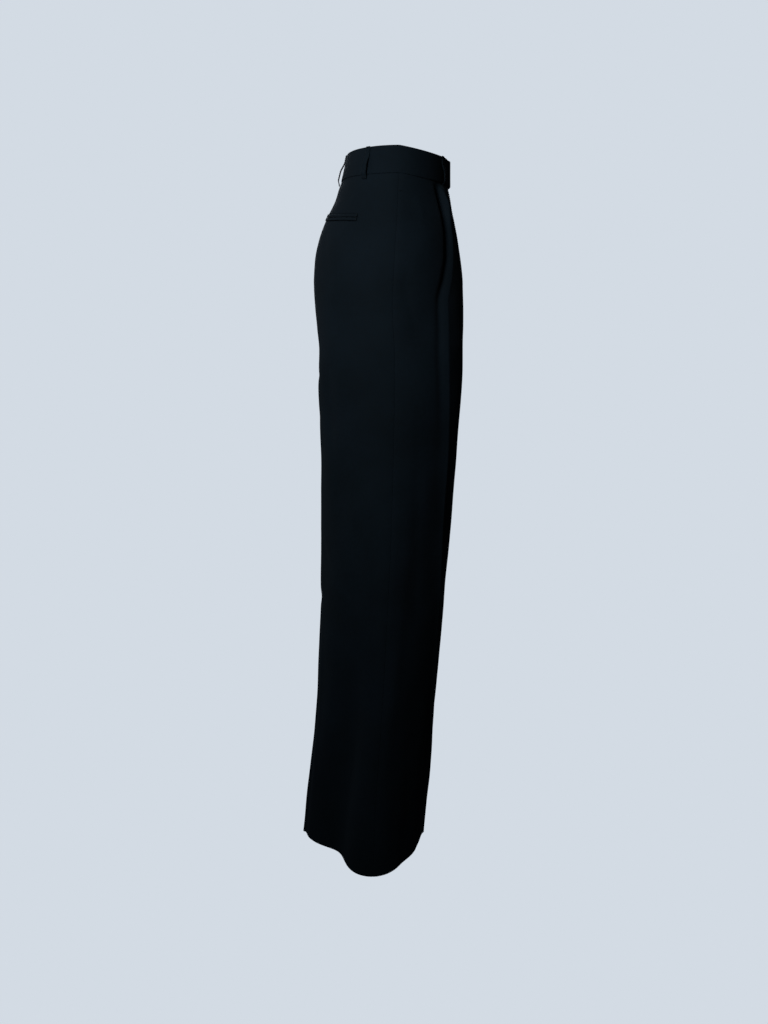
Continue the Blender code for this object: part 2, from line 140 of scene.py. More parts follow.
# An open fold is at its full depth after this share of its length, and runs on a little past the hem's turn.
FOLD_OPEN = 1 / 1.4
FOLD_END = 1.02
EDGE_FADE = 16.0
print("big folds:", len(FOLDS), "and the deepest is", max(abs(fold.depth) for fold in FOLDS), "mm")

# %% [markdown]
# The big folds above are in the solids too, where the first one is a little deeper. These smaller ones are
# only on the cloth. Each is a soft trough or ridge with its own place, length, tilt and depth, listed one by
# one, because real drag lines are uneven: short strains fan out under the seat and at the crotch, slack
# crescents lie behind the knee, and long weak waves run to the hem.

# %% Small folds and waves
# drop and angle: the middle of the fold. reach: half its length, and width: half its width, in millimetres.
# lean: how far it tilts from plumb, in degrees, the lower end towards the front. depth is out (+) or in (-).
Drag = namedtuple("Drag", "drop angle reach width lean depth")
DRAGS = {
    "right": [
        Drag(338, -84, 46, 9, 68, -2.6), Drag(362, -70, 60, 11, 58, 1.8), Drag(389, -98, 38, 8, 74, -1.7),
        Drag(318, -120, 40, 9, 50, -2.4), Drag(352, -138, 52, 12, 36, 1.9), Drag(436, -58, 85, 15, 30, -1.5),
        Drag(268, 118, 34, 7, 62, -1.9), Drag(297, 104, 46, 9, 55, 1.5), Drag(331, 128, 50, 10, 38, -2.1),
        Drag(618, -66, 44, 10, 64, -1.6), Drag(652, -48, 60, 13, 52, 1.2), Drag(688, -88, 40, 10, 72, -1.5),
        Drag(246, 14, 40, 8, 18, -0.7), Drag(60, -14, 18, 6, -20, -0.6), Drag(92, 24, 26, 8, 14, 0.8),
        Drag(560, 24, 150, 17, 4, -1.2), Drag(820, 10, 190, 16, -4, 1.7), Drag(930, 62, 160, 14, 3, -1.6),
        Drag(900, -76, 170, 15, 2, 2.2), Drag(700, 150, 180, 18, 0, -2.2), Drag(960, 160, 140, 14, -3, 2.0),
        Drag(470, 76, 120, 13, -6, -1.0), Drag(152, -60, 46, 13, 34, -1.1), Drag(196, -30, 60, 16, 20, 0.9),
        Drag(1010, 22, 80, 13, 2, -1.3), Drag(764, -10, 110, 12, 3, -1.2), Drag(128, -98, 40, 11, -28, -1.0),
    ],
    "left": [
        Drag(331, -78, 52, 10, 62, -2.2), Drag(358, -96, 44, 9, 70, 1.6), Drag(381, -66, 56, 11, 54, -1.9),
        Drag(322, -128, 44, 10, 44, -2.6), Drag(366, -144, 48, 11, 30, 2.0), Drag(448, -74, 70, 14, 36, -1.4),
        Drag(262, 108, 38, 8, 58, -1.6), Drag(303, 122, 42, 8, 46, 1.7), Drag(340, 110, 56, 11, 40, -1.8),
        Drag(604, -82, 50, 11, 60, -1.8), Drag(643, -60, 46, 11, 66, 1.4), Drag(676, -40, 52, 12, 48, -1.3),
        Drag(238, 16, 44, 9, 14, -0.8), Drag(64, -20, 20, 6, -16, -0.5), Drag(98, 20, 24, 8, 18, 0.7),
        Drag(540, 14, 140, 18, -3, -1.4), Drag(800, 26, 170, 15, 4, 1.5), Drag(955, 70, 150, 15, 2, -1.9),
        Drag(880, -70, 180, 16, -3, 1.8), Drag(720, 146, 160, 17, 3, -2.0), Drag(940, 154, 150, 15, 2, 2.3),
        Drag(490, 82, 110, 12, -4, -1.2), Drag(160, -52, 50, 14, 30, -0.9), Drag(205, -34, 54, 15, 22, 0.8),
        Drag(1000, 14, 90, 14, -2, -1.2), Drag(780, -14, 120, 13, 3, -1.4), Drag(132, -90, 38, 11, -26, -1.0),
    ],
}
# On a leg one degree is about this many millimetres of cloth. Over SLACK_GROWS millimetres below the band the
# small folds grow to their full depth.
DEGREE = 3.1
SLACK_GROWS = 60

# The slack of the cloth: three slow waves. length: down the leg and around it, in millimetres.
Wave = namedtuple("Wave", "down around shift height")
WAVES = {
    "right": [Wave(210, 170, 0.4, 0.42), Wave(128, -96, 2.1, 0.24), Wave(74, 118, 4.0, 0.12)],
    "left": [Wave(188, -160, 1.3, 0.42), Wave(139, 104, 3.3, 0.24), Wave(80, -110, 0.7, 0.12)],
}

# The pleat's fold leans over towards the side seam: how far, in millimetres, at a drop. The cloth follows
# over a short way behind the fold's edge and a longer way in front of it. Below the band it also opens
# softly: firm is the share of the solid's ridge that stays.
Lean = namedtuple("Lean", "drop over firm")
LEANS = [
    Lean(42, 0, 1), Lean(50, 6, 1), Lean(64, 8.5, 1), Lean(88, 6, 0.7), Lean(125, 2.5, 0.4),
    Lean(180, 0.5, 0.4), Lean(240, 0, 0.6), Lean(330, 0, 0.8), Lean(480, 0, 1),
]
LEAN_BEHIND, LEAN_AHEAD = 6.0, 16.0
print("small folds:", sum(len(rows) for rows in DRAGS.values()))

# %% Read the tables


def eased(fraction):
    """0 to 1 with a soft start and end, held at 0 and 1 outside."""
    t = np.clip(fraction, 0.0, 1.0)
    return t * t * (3 - 2 * t)


def bell(distance, width):
    """1 at no distance, falling off softly on both sides."""
    return np.exp(-(distance / width) ** 2)


def read(rows, column, drop):
    """A table's column at drops in metres, on a smooth curve through its rows that never overshoots them."""
    drops = np.array([row.drop for row in rows], float)
    values = np.array([getattr(row, column) for row in rows], float)
    rises = np.diff(values) / np.diff(drops)
    before, after = np.append(rises[0], rises), np.append(rises, rises[-1])
    turning = before * after <= 0
    slopes = np.where(turning, 0, 2 * before * after / np.where(turning, 1, before + after))
    at = np.clip(np.asarray(drop, float) / MM, drops[0], drops[-1])
    index = np.clip(np.searchsorted(drops, at) - 1, 0, len(rows) - 2)
    run = (drops[1:] - drops[:-1])[index]
    t = (at - drops[index]) / run
    bend = (slopes[index] * (t - 1) + slopes[index + 1] * t) * (t - 1) * t * run
    return values[index] + (values[index + 1] - values[index]) * eased(t) + bend


print("side seam to side seam at the knee, in mm:", 2 * read(RINGS, "side_out", KNEE_DROP).round(1))

# %% Rings and their two halves


def ring(column, drop):
    return read(RINGS, column, drop)


def half_width(drop):
    """From a ring's middle to the side seam, in millimetres."""
    return ring("side_out", drop) - ring("axis_out", drop)


def powered(value, power):
    """A power of a value's size that keeps the value's sign."""
    return np.copysign(np.abs(value) ** power, value)


def inner_angle(half, drop):
    """Angle of a half's inner end: the centre seam above the crotch, the inseam at 180 below it."""
    axis_out, half_wide = ring("axis_out", drop), half_width(drop)
    clear = (GAP / 2 + SOLID_CLOTH / 2 * np.minimum(1, axis_out / half_wide)) / MM
    reach = np.minimum(1, (axis_out - clear) / half_wide)
    cosine = powered(reach, 1 / ring("pinch_" + half, drop))
    return np.where(reach >= 0.9999, 180.0, np.degrees(np.arccos(-cosine)))


def by_half(angle, value, drop):
    """A value of the front half in front of the side seam, and of the back half behind it."""
    return np.where(np.asarray(angle) > 0, value("front", drop), value("back", drop))


def joined(*columns):
    """Arrays broadcast together and joined, as the coordinates of points or of a UV map."""
    return np.stack(np.broadcast_arrays(*columns), axis=-1)


print("at the hip the front half ends at", inner_angle("front", HIP_DROP).round(1), "degrees")

# %% Creases, folds and slack


def press(rows, drop, angle, per_degree, firm=1.0):
    """How far a pressed crease moves the cloth out, in millimetres."""
    across = (angle - read(rows, "angle", drop)) * per_degree
    fall = np.where(across > 0, read(rows, "reach", drop), RIDGE_FALL)
    ridge = firm * read(rows, "ridge", drop) * np.exp(-np.abs(across) / fall)
    return ridge - read(rows, "trough", drop) * bell(across + TROUGH_OFFSET, TROUGH_WIDTH)


def drape(side, drop, angle):
    """How far the big folds move the cloth out, in millimetres."""
    moved = 0.0
    for fold in FOLDS:
        along = (drop / MM - fold.top) / (fold.bottom - fold.top)
        inside = (along > 0) & (along <= FOLD_END)
        line = fold.top_angle + (fold.bottom_angle - fold.top_angle) * along
        strength = eased(along / FOLD_OPEN) if fold.open_hem else np.sin(np.pi * np.clip(along, 0, 1)) ** 2
        moved = moved + inside * fold.depth * getattr(fold, side) * strength * bell(angle - line, fold.width)
    return moved


def slack(side, drop, angle):
    """How far the small folds and waves move the cloth out, in millimetres."""
    down, round_leg = drop / MM, angle * DEGREE
    moved = 0.0
    for drag in DRAGS[side]:
        lean = math.radians(drag.lean)
        below, ahead = down - drag.drop, round_leg - drag.angle * DEGREE
        along = below * math.cos(lean) + ahead * math.sin(lean)
        across = ahead * math.cos(lean) - below * math.sin(lean)
        moved = moved + drag.depth * bell(along, drag.reach) * bell(across, drag.width)
    for wave in WAVES[side]:
        turns = down / wave.down + round_leg / wave.around
        moved = moved + wave.height * np.sin(2 * np.pi * turns + wave.shift)
    return moved * eased((down - BAND_HEIGHT / MM) / SLACK_GROWS)


print("behind the hem the big folds move the cloth by", round(float(drape("right", OUTSEAM, -42)), 1), "mm")

# %% Points on the form


def world_height(drop, angle):
    """The waist dips at the front, and the hem rises from the side seam to the creases."""
    to_front = np.sin(np.radians(90 * np.clip(angle / DIP_ANGLE, 0, 1)))
    dip = WAIST_DIP * to_front * (1 - eased(drop / HIP_DROP))
    to_hem = eased((drop - KNEE_DROP) / (OUTSEAM - KNEE_DROP))
    return -drop - dip + HEM_LIFT * to_hem * eased(np.abs(angle) / 90)


def surface(side, drop, angle):
    """Points of the cloth's middle, in metres. drop and angle are arrays that broadcast together."""
    drop, angle = np.asarray(drop, float), np.asarray(angle, float)
    axis_out, half_wide, seam = ring("axis_out", drop), half_width(drop), ring("seam", drop)
    half_deep = np.abs(by_half(angle, ring, drop) - seam)
    cosine, sine = np.cos(np.radians(angle)), np.sin(np.radians(angle))
    outward = powered(cosine, by_half(angle, lambda half, d: ring("pinch_" + half, d), drop))

    per_degree = np.radians(np.hypot(half_wide * sine, half_deep * cosine))
    fade = eased((by_half(angle, inner_angle, drop) - np.abs(angle)) / EDGE_FADE)
    pressed = np.where(angle > 0, press(FRONT_CREASE, drop, angle, per_degree, read(LEANS, "firm", drop)),
                       press(BACK_CREASE, drop, -angle, per_degree))
    moved = fade * (pressed + drape(side, drop, angle) + slack(side, drop, angle))
    size = np.hypot(cosine * half_deep, sine * half_wide)
    face_x, face_y = cosine * half_deep / size, sine * half_wide / size

    from_crease = (angle - read(FRONT_CREASE, "angle", drop)) * per_degree
    follows = bell(from_crease, np.where(from_crease < 0, LEAN_BEHIND, LEAN_AHEAD))
    over = np.where(angle > 0, read(LEANS, "over", drop) * follows, 0)
    x = axis_out + half_wide * outward + moved * face_x + over * face_y
    y = seam - half_deep * sine - moved * face_y + over * face_x
    mirror = -1 if side == "right" else 1
    return joined(mirror * x * MM, y * MM, world_height(drop, angle))


test = surface("right", np.array([0.0, 0.3, 0.6, 1.1]), np.array([0.0, 90.0, -90.0, 45.0]))
print("places on the form, in mm:", (test / MM).round(1).tolist())

# %% Ways out, round and down


def unit(vectors):
    return vectors / np.linalg.norm(vectors, axis=-1, keepdims=True)


def axes(side, drop, angle):
    """At places on the form: the way out of the cloth, the way round to larger angles and the way down."""
    around = surface(side, drop, angle + 0.5) - surface(side, drop, angle - 0.5)
    down = surface(side, drop + 0.001, angle) - surface(side, drop - 0.001, angle)
    out = unit(np.cross(down, around))
    return (out if side == "right" else -out), unit(around), unit(down)


def lifted(side, drop, angle, lift):
    """Places on the form, moved out of the cloth by lift in metres."""
    out = axes(side, drop, angle)[0]
    return surface(side, drop, angle) + out * np.asarray(lift, float)[..., None]


test = lifted("right", KNEE_DROP, 0, 10 * MM)
print("10 mm out of the side seam at the knee, in mm:", (test / MM).round(1).tolist())

# %% [markdown]
# ## Colours and nodes
# Colours are noted the way a dye card or a screen gives them, as sRGB hex, but the shader counts in linear
# light, so one function turns one into the other. Materials are built from nodes. Adding a node, setting it
# and linking it is always the same few lines, so one small function does it for every kind of node.

# %% Helpers for materials


def linear(hex_colour, alpha=1.0):
    """An sRGB hex colour as linear red, green, blue and alpha."""
    parts = [int(hex_colour[i:i + 2], 16) / 255 for i in (1, 3, 5)]
    return (*[c / 12.92 if c <= 0.04045 else ((c + 0.055) / 1.055) ** 2.4 for c in parts], alpha)


def feed(tree, node, **inputs):
    """Gives a node's inputs, by name or number, their values, or links them to the sockets given."""
    for key, value in inputs.items():
        socket = node.inputs[int(key[1:])] if key[1:].isdigit() else node.inputs[key.replace("_", " ")]
        if isinstance(value, bpy.types.NodeSocket):
            tree.links.new(value, socket)
        else:
            socket.default_value = value
    return node


def add_node(tree, kind, settings=None, **inputs):
    """Adds a node. settings are its properties, and inputs are as for feed."""
    node = tree.nodes.new(kind)
    for key, value in (settings or {}).items():
        setattr(node, key, value)
    return feed(tree, node, **inputs)


def new_material(name, **values):
    """A material with its Principled shader wired up. values go on the shader's own inputs."""
    material = bpy.data.materials.new(name)
    material.use_nodes = True
    tree = material.node_tree
    tree.nodes.clear()
    shader = add_node(tree, "ShaderNodeBsdfPrincipled", **values)
    output = add_node(tree, "ShaderNodeOutputMaterial", Surface=shader.outputs[0])
    output.is_active_output = True
    return material, tree, shader


def bands_each(spacing):
    """The scale for a Wave texture's bands to lie spacing metres apart. At scale 1 it is 2 pi / 20."""
    return 2 * math.pi / 20 / spacing


print("a middle grey on a screen is", round(linear("#808080")[0], 3), "in linear light")

# %% [markdown]
# ### Wool-blend suiting
# The real cloth is a dyed-in-the-wool twill, woven and then pressed: near black with a cool cast, matt, with
# a faint bloom of fibre ends that catches light at the edges. A flat dark colour would look like plastic. The
# twill is drawn as a diagonal wave on the cloth's own UV map, which is laid along the grain in metres, so it
# turns with each piece. Threads of 0.5 mm are too fine to show, so the lines are drawn 1.3 mm apart. Slow
# noise makes the dye uneven.

# %% Suiting
TWILL = 0.0013
TWILL_TURN = 63
SLUB = 0.006
CLOUD = 0.09


def make_suiting():
    material, tree, shader = new_material(
        "wool_blend_twill", IOR=1.5, Specular_IOR_Level=0.12, Sheen_Weight=0.05, Sheen_Roughness=0.45,
        Sheen_Tint=linear("#7f97a8"))
    place = add_node(tree, "ShaderNodeUVMap", {"uv_map": "grain"}).outputs[0]
    turned = add_node(tree, "ShaderNodeMapping", Vector=place, Rotation=(0, 0, math.radians(TWILL_TURN)))
    twill = add_node(tree, "ShaderNodeTexWave", {"bands_direction": "X"}, Vector=turned.outputs[0],
                     Scale=bands_each(TWILL), Distortion=1.2, Detail=1.0, Detail_Scale=1.5)
    slub = add_node(tree, "ShaderNodeTexNoise", Vector=place, Scale=1 / SLUB, Detail=3.0, Roughness=0.6)
    where = add_node(tree, "ShaderNodeTexCoord").outputs["Object"]
    cloud = add_node(tree, "ShaderNodeTexNoise", Vector=where, Scale=1 / CLOUD, Detail=3.0, Roughness=0.55)

    tone = add_node(tree, "ShaderNodeMix", {"data_type": "FLOAT"}, Factor=0.35, _2=cloud.outputs[0],
                    _3=slub.outputs[0])
    dye = add_node(tree, "ShaderNodeValToRGB", Fac=tone.outputs[0])
    for stop, position, colour in zip(dye.color_ramp.elements, (0.34, 0.68), ("#07131b", "#0e1b25")):
        stop.position, stop.color = position, linear(colour)
    threads = add_node(tree, "ShaderNodeMix", {"data_type": "RGBA", "blend_type": "MULTIPLY"}, _0=0.22,
                       _6=dye.outputs[0], _7=twill.outputs[0])
    rough = add_node(tree, "ShaderNodeMapRange", Value=slub.outputs[0], To_Min=0.78, To_Max=0.95)
    relief = add_node(tree, "ShaderNodeMix", {"data_type": "FLOAT"}, Factor=0.4, _2=twill.outputs[1],
                      _3=slub.outputs[0])
    bump = add_node(tree, "ShaderNodeBump", Strength=0.35, Distance=0.0002, Height=relief.outputs[0])
    feed(tree, shader, Base_Color=threads.outputs[2], Roughness=rough.outputs[0], Normal=bump.outputs[0])
    return material


suiting = make_suiting()
print("suiting nodes:", len(suiting.node_tree.nodes))

# %% [markdown]
# ## Shells and tubes
# Cut cloth is a sheet, so a piece is made as a grid of points with a Solidify wall. Narrow rolled pieces,
# such as belt loops and pocket lips, are closed tubes: rings of points with a cap at each end. Both carry a
# UV map in metres.

# %% Grid meshes
CLOTH = 0.0007


def add_object(name, data):
    """Puts a mesh, a light or a camera in the scene."""
    added = bpy.data.objects.new(name, data)
    bpy.context.scene.collection.objects.link(added)
    return added


def finished(name, points, faces, uv, material):
    """A smooth mesh object with its UV map along the grain. points, faces and uv are arrays."""
    mesh = bpy.data.meshes.new(name)
    mesh.from_pydata(points.tolist(), [], [face.tolist() for face in faces])
    layer = mesh.uv_layers.new(name="grain")
    corners = np.zeros(len(mesh.loops), np.int32)
    mesh.loops.foreach_get("vertex_index", corners)
    layer.data.foreach_set("uv", uv[corners].astype(np.float32).ravel())
    mesh.shade_smooth()
    mesh.materials.append(material)
    return add_object(name, mesh)


def quads(rows, columns, closed=False):
    """Corner numbers of a grid's faces. A closed grid also joins its last column to its first."""
    numbers = np.arange(rows * columns).reshape(rows, columns)
    if closed:
        numbers = np.hstack([numbers, numbers[:, :1]])
    corners = [numbers[:-1, :-1], numbers[1:, :-1], numbers[1:, 1:], numbers[:-1, 1:]]
    return np.stack(corners, axis=-1).reshape(-1, 4)


def shell(name, grid, uv, material, turned, thickness=CLOTH):
    """A sheet of cloth on a grid of points. turned: the columns run the way that faces its mesh inwards."""
    rows, columns = grid.shape[:2]
    faces = quads(rows, columns)
    faces = faces[:, ::-1] if turned else faces
    piece = finished(name, grid.reshape(-1, 3), faces, uv.reshape(-1, 2), material)
    wall = piece.modifiers.new("wall", "SOLIDIFY")
    wall.thickness, wall.offset = thickness, 0
    return piece


def tube(name, rings, uv, material):
    """A closed tube through rings of points, with a fan of triangles over each end, facing outwards."""
    count, around = rings.shape[:2]
    points = np.vstack([rings.reshape(-1, 3), rings[0].mean(0), rings[-1].mean(0)])
    uv = np.vstack([uv.reshape(-1, 2), uv[0].mean(0), uv[-1].mean(0)])
    first, last, step = count * around, count * around + 1, np.arange(around)
    start = np.stack([np.full(around, first), step, np.roll(step, -1)], axis=1)
    end = np.stack([np.full(around, last), np.roll(step, -1) + first - around, step + first - around], axis=1)
    faces = [*quads(count, around, closed=True), *start, *end]
    triangles = np.array([face[[0, i, i + 1]] for face in faces for i in range(1, len(face) - 1)])
    a, b, c = (points[triangles[:, i]] for i in range(3))
    if np.einsum("ij,ij->i", a, np.cross(b, c)).sum() < 0:
        faces = [face[::-1] for face in faces]
    return finished(name, points, faces, uv, material)


print("faces between 3 rows of 4 points:", len(quads(3, 4)), "open,", len(quads(3, 4, closed=True)), "closed")

# %% [markdown]
# ## The four panels
# Each leg is a front and a back panel. A tailor cuts them flat, sews them with 12 mm seam allowances, presses
# these open, and turns up the hem. A panel could stop at its seam lines, but then its edges look like cut
# sheet metal. Here one grid runs on past every seam: it rolls round a tight turn and lies flat on the inside,
# as the cloth does. The columns are spaced by their distance along the cloth, so the grain lines are true,
# and one lies on the crease.

# %% Rows of a panel
SEAM_ALLOWANCE = 0.012
SEAM_ROLL = 0.00045
HEM_TURN_UP = 0.038
HEM_ROLL = 0.00135
TUCK = 0.008
SQUEEZE = 0.00005
EDGE = CLOTH / 2 + SEAM_ROLL - SQUEEZE
POCKET_DROP = 0.104
POCKET_RISE = 0.007
POCKET_OUTER, POCKET_INNER = -32, -84
LIP_HEIGHT = 0.0048
POCKET_ROWS = (0.088, 0.1135)


def turn_phases(count):
    """Phases round a turn. A phase is how far the cloth has turned in: 0 on the face and pi on the inside."""
    return np.pi * np.arange(1, count + 1) / (count + 1)


# The rows lie closest at the back pockets. Some go round the hem's turn, and the last ones run up inside it.
HEM_LINE = OUTSEAM - HEM_ROLL
ABOVE_POCKETS, AT_POCKETS, BELOW_POCKETS = 0.002, 0.0008, 0.0042
TURN_ROWS, INSIDE_ROWS = 7, 10
face_rows = np.concatenate([
    np.arange(BAND_HEIGHT - TUCK, POCKET_ROWS[0], ABOVE_POCKETS), np.arange(*POCKET_ROWS, AT_POCKETS),
    np.arange(POCKET_ROWS[1], HEM_LINE - 0.002, BELOW_POCKETS), [HEM_LINE]])
ROW_DROPS = np.concatenate([
    face_rows, np.full(TURN_ROWS, HEM_LINE), HEM_LINE - np.linspace(0, HEM_TURN_UP, INSIDE_ROWS)])
ROW_PHASES = np.concatenate([0 * face_rows, turn_phases(TURN_ROWS), np.full(INSIDE_ROWS, np.pi)])
print("rows in a panel:", len(ROW_DROPS))

# %% Columns of a panel
# How many columns lie between the side seam and the crease, and between the crease and the inner end. They
# crowd a little towards the crease. Each end has more of them round its turn, and as many in its allowance.
COLUMNS = {"front": (30, 52), "back": (44, 40)}
END_COLUMNS = 5
OUTER_CROWDING, INNER_CROWDING = 1.25, 1.15
FINE_STEPS = 360


def columns(half, crease, end):
    """For each row, the columns' places along the cloth. For each column, its phase and the side it turns to.
    They come out of the side seam's allowance, cross the face through the crease, and turn in at the end."""
    outer, inner = COLUMNS[half]
    allowance, turn = SEAM_ALLOWANCE * np.linspace(1, 0, END_COLUMNS), turn_phases(END_COLUMNS)
    place = np.hstack([
        EDGE + allowance + 0 * end, EDGE + 0 * (turn + end),
        EDGE + (crease - EDGE) * (1 - np.linspace(1, 0, outer + 1) ** OUTER_CROWDING),
        crease + (end - crease) * np.linspace(0, 1, inner + 1)[1:] ** INNER_CROWDING,
        end + 0 * turn, end - allowance[::-1]])
    face, inside, ends = np.zeros(outer + 1 + inner), np.full(END_COLUMNS, np.pi), np.ones(2 * END_COLUMNS)
    phase = np.concatenate([inside, turn[::-1], face, turn, inside])
    return place, phase, np.concatenate([-ends, face, ends])


def lengths_round(side, half, drops):
    """For each drop: a fine row of angles from the side seam to the inner end, and the length up to each."""
    way = 1 if half == "front" else -1
    angles = way * inner_angle(half, drops)[:, None] * np.linspace(0, 1, FINE_STEPS + 1)
    steps = np.linalg.norm(np.diff(surface(side, drops[:, None], angles), axis=1), axis=2)
    return angles, np.hstack([np.zeros((len(drops), 1)), np.cumsum(steps, axis=1)])


print("columns in a panel:", {half: sum(counts) + 1 + 4 * END_COLUMNS for half, counts in COLUMNS.items()})

# %% [markdown]
# Along the seams the cloth isn't level: it dips into the stitching, the edges of the allowances under it show
# as a faint ridge where the iron pressed them, and it puckers a little. The right front laps over the left
# one at the fly, and each pocket mouth gapes where a hand goes in. The back pockets are let into the cloth.

# %% Relief at the pockets
MOUTH_TOP, MOUTH_BOTTOM = 0.066, 0.236
MOUTH_REACH = 0.022
Gape = namedtuple("Gape", "drop open")
GAPES = [Gape(66, 0), Gape(92, 0.5), Gape(140, 0.6), Gape(198, 1.7), Gape(222, 1.2), Gape(238, 0)]
LETTING_IN, LETTING_IN_MARGIN, LETTING_IN_EDGE = 0.0009, 0.0013, 0.0014
SLIT_DEPTH, SIDE_SLIT, MIDDLE_SLIT = 0.0016, 0.0008, 0.0009
POCKET_END_STEEPNESS = 26


def mouth_gape(drop, from_seam):
    """How far a front's pocket edge stands out."""
    inside = (drop > MOUTH_TOP) & (drop < MOUTH_BOTTOM + 0.002)
    return inside * read(GAPES, "open", drop) * MM * eased(1 - from_seam / MOUTH_REACH)


def pocket_hollow(drop, angle):
    """How far the cloth is pressed in under the back pocket's lips."""
    share = (angle - POCKET_OUTER) / (POCKET_INNER - POCKET_OUTER)
    off = np.abs(drop - POCKET_DROP + POCKET_RISE * share)
    rows = eased((LIP_HEIGHT + LETTING_IN_MARGIN - off) / LETTING_IN_EDGE)
    slits = bell(off - LIP_HEIGHT - SIDE_SLIT / 2, SIDE_SLIT) + bell(off, MIDDLE_SLIT)
    ends = eased(share * POCKET_END_STEEPNESS + 0.8) * eased((1 - share) * POCKET_END_STEEPNESS + 0.8)
    return (LETTING_IN * rows + SLIT_DEPTH * slits) * ends


print("the pocket mouths gape by up to", max(gape.open for gape in GAPES), "mm")

# %% Relief along the seams and the fly
# Heights and depths of the relief, each with how far it reaches along the cloth.
SEAM_DIP, SEAM_DIP_REACH = 0.00030, 0.0022
ALLOWANCE_PRINT, PRINT_EDGE = 0.00016, 0.003
PUCKER, PUCKER_REACH = 0.00013, 0.0065
PUCKER_WAVES = (2.9, 7.7, 5.1)
BAND_DITCH, BAND_DITCH_REACH = 0.0002, 0.0035
CENTRE_CLOSED, CENTRE_EDGE, CENTRE_REACH = 0.014, 0.012, 0.020
FLY_BOTTOM = 0.200
FLY_LAP, FLY_TUCK, FLY_WIDENS, FLY_NARROWS = 0.006, 0.002, 0.006, 0.010
FLY_RISE, FLY_REACH = 0.00175, 0.018


def seam_relief(from_edge, drop, seed):
    """The dip, the pressed-through ridge and the puckers beside a sewn seam."""
    dip = -SEAM_DIP * bell(from_edge, SEAM_DIP_REACH)
    ridge = -ALLOWANCE_PRINT * eased((from_edge - SEAM_ALLOWANCE + PRINT_EDGE / 3) / PRINT_EDGE)
    fine, slow, third = (drop / MM / wave for wave in PUCKER_WAVES)
    wave = np.sin(fine + seed) * np.sin(slow + 2 * seed) + 0.6 * np.sin(third - seed)
    return dip + ridge + PUCKER * wave * bell(from_edge, PUCKER_REACH)


def centre_shift(x, drop, from_end):
    """How far a panel's inner end moves towards the centre plane, so that thin cloth closes the seam down to
    the crotch, where the thicker solids stand a little apart. x: the panel's distances from that plane."""
    open_by = np.maximum(np.abs(x).min(axis=1, keepdims=True) - CLOTH / 2 + SQUEEZE, 0)
    above = eased((CROTCH_DROP + CENTRE_CLOSED - drop) / CENTRE_EDGE)
    return open_by * above * eased(1 - from_end / CENTRE_REACH)


def fly_lap(drop):
    """How far the right front runs over the left one."""
    widens, narrows = (drop - BAND_HEIGHT + FLY_TUCK) / FLY_WIDENS, (FLY_BOTTOM - drop) / FLY_NARROWS
    return FLY_LAP * eased(widens) * eased(narrows)


def fly_rise(drop, from_end):
    """How far the right front stands out at the fly, where it lies on the left one."""
    return FLY_RISE * fly_lap(drop) / FLY_LAP * eased(1 - from_end / FLY_REACH)


print("the fly ends", round(FLY_BOTTOM / MM), "mm below the waist")

# %% Points of a panel


def panel(side, half):
    """One leg panel: its grid of points and its UV map."""
    drops = ROW_DROPS[:, None]
    angles, lengths = lengths_round(side, half, ROW_DROPS)
    crease_angles = read(FRONT_CREASE if half == "front" else BACK_CREASE, "angle", ROW_DROPS)
    rows = zip(crease_angles, np.abs(angles), lengths)
    crease = np.array([np.interp(angle, row, run) for angle, row, run in rows])[:, None]
    laps = side == "right" and half == "front"
    lap = fly_lap(drops) if laps else 0 * drops
    full = lengths[:, -1:]
    end = full - EDGE + lap
    place, phase, toward = columns(half, crease, end)

    # Past its seam line the lapping front follows the left leg's form, which is the right one's mirror image.
    past = place > full
    folded = np.where(past, 2 * full - place, place)
    angle = np.array([np.interp(way, run, row) for way, run, row in zip(folded, lengths, angles)])
    middle = surface(side, drops, angle)
    out, around, down = axes(side, drops, angle)
    past = past[..., None]
    around = np.where(past == (half == "front"), -around, around)
    middle, out, around, down = (
        np.where(past, part * (-1, 1, 1), part) for part in (middle, out, around, down))

    roll = HEM_ROLL - SEAM_ROLL * (1 - np.cos(phase))
    turn_up = ROW_PHASES[:, None]
    on_face = (np.cos(phase) + 1) / 2 * (np.cos(turn_up) + 1) / 2
    from_side, from_end = place - EDGE, end - place
    seams = seam_relief(from_side, drops, 1.0) + (drops > FLY_BOTTOM) * seam_relief(from_end, drops, 2.3)
    lift = roll * np.cos(turn_up) - HEM_ROLL + seams * on_face
    lift = lift - BAND_DITCH * eased((BAND_HEIGHT + BAND_DITCH_REACH - drops) / BAND_DITCH_REACH)
    lift = lift + (mouth_gape(drops, from_side) if half == "front" else -pocket_hollow(drops, angle))
    if laps:
        lift = lift + fly_rise(drops, from_end)
    sideways = SEAM_ROLL * np.sin(phase) * toward
    below = roll * np.sin(turn_up)
    grid = middle + out * lift[..., None] + around * sideways[..., None] + down * below[..., None]
    inward = 1 if side == "right" else -1
    grid[..., 0] += inward * centre_shift(grid[..., 0], drops, from_end) * (1 - lap / FLY_LAP)

    run = np.where(turn_up == np.pi, OUTSEAM + HEM_LINE - drops, drops)
    return grid, joined(place - crease, -run)


SIDES = ("right", "left")
cuts = {(half, side): panel(side, half) for side in SIDES for half in COLUMNS}
print("widest rows, in mm:", {" ".join(key): round(np.ptp(uv[..., 0], axis=1).max() / MM)
                              for key, (_, uv) in cuts.items()})

# %% Make the panels
panels = {}
for (half, side), (grid, uv) in cuts.items():
    turned = (side == "left") != (half == "back")
    panels[half, side] = shell(f"suiting_{half}_{side}", grid, uv, suiting, turned)
print("panel faces:", {" ".join(key): len(piece.data.polygons) for key, piece in panels.items()})

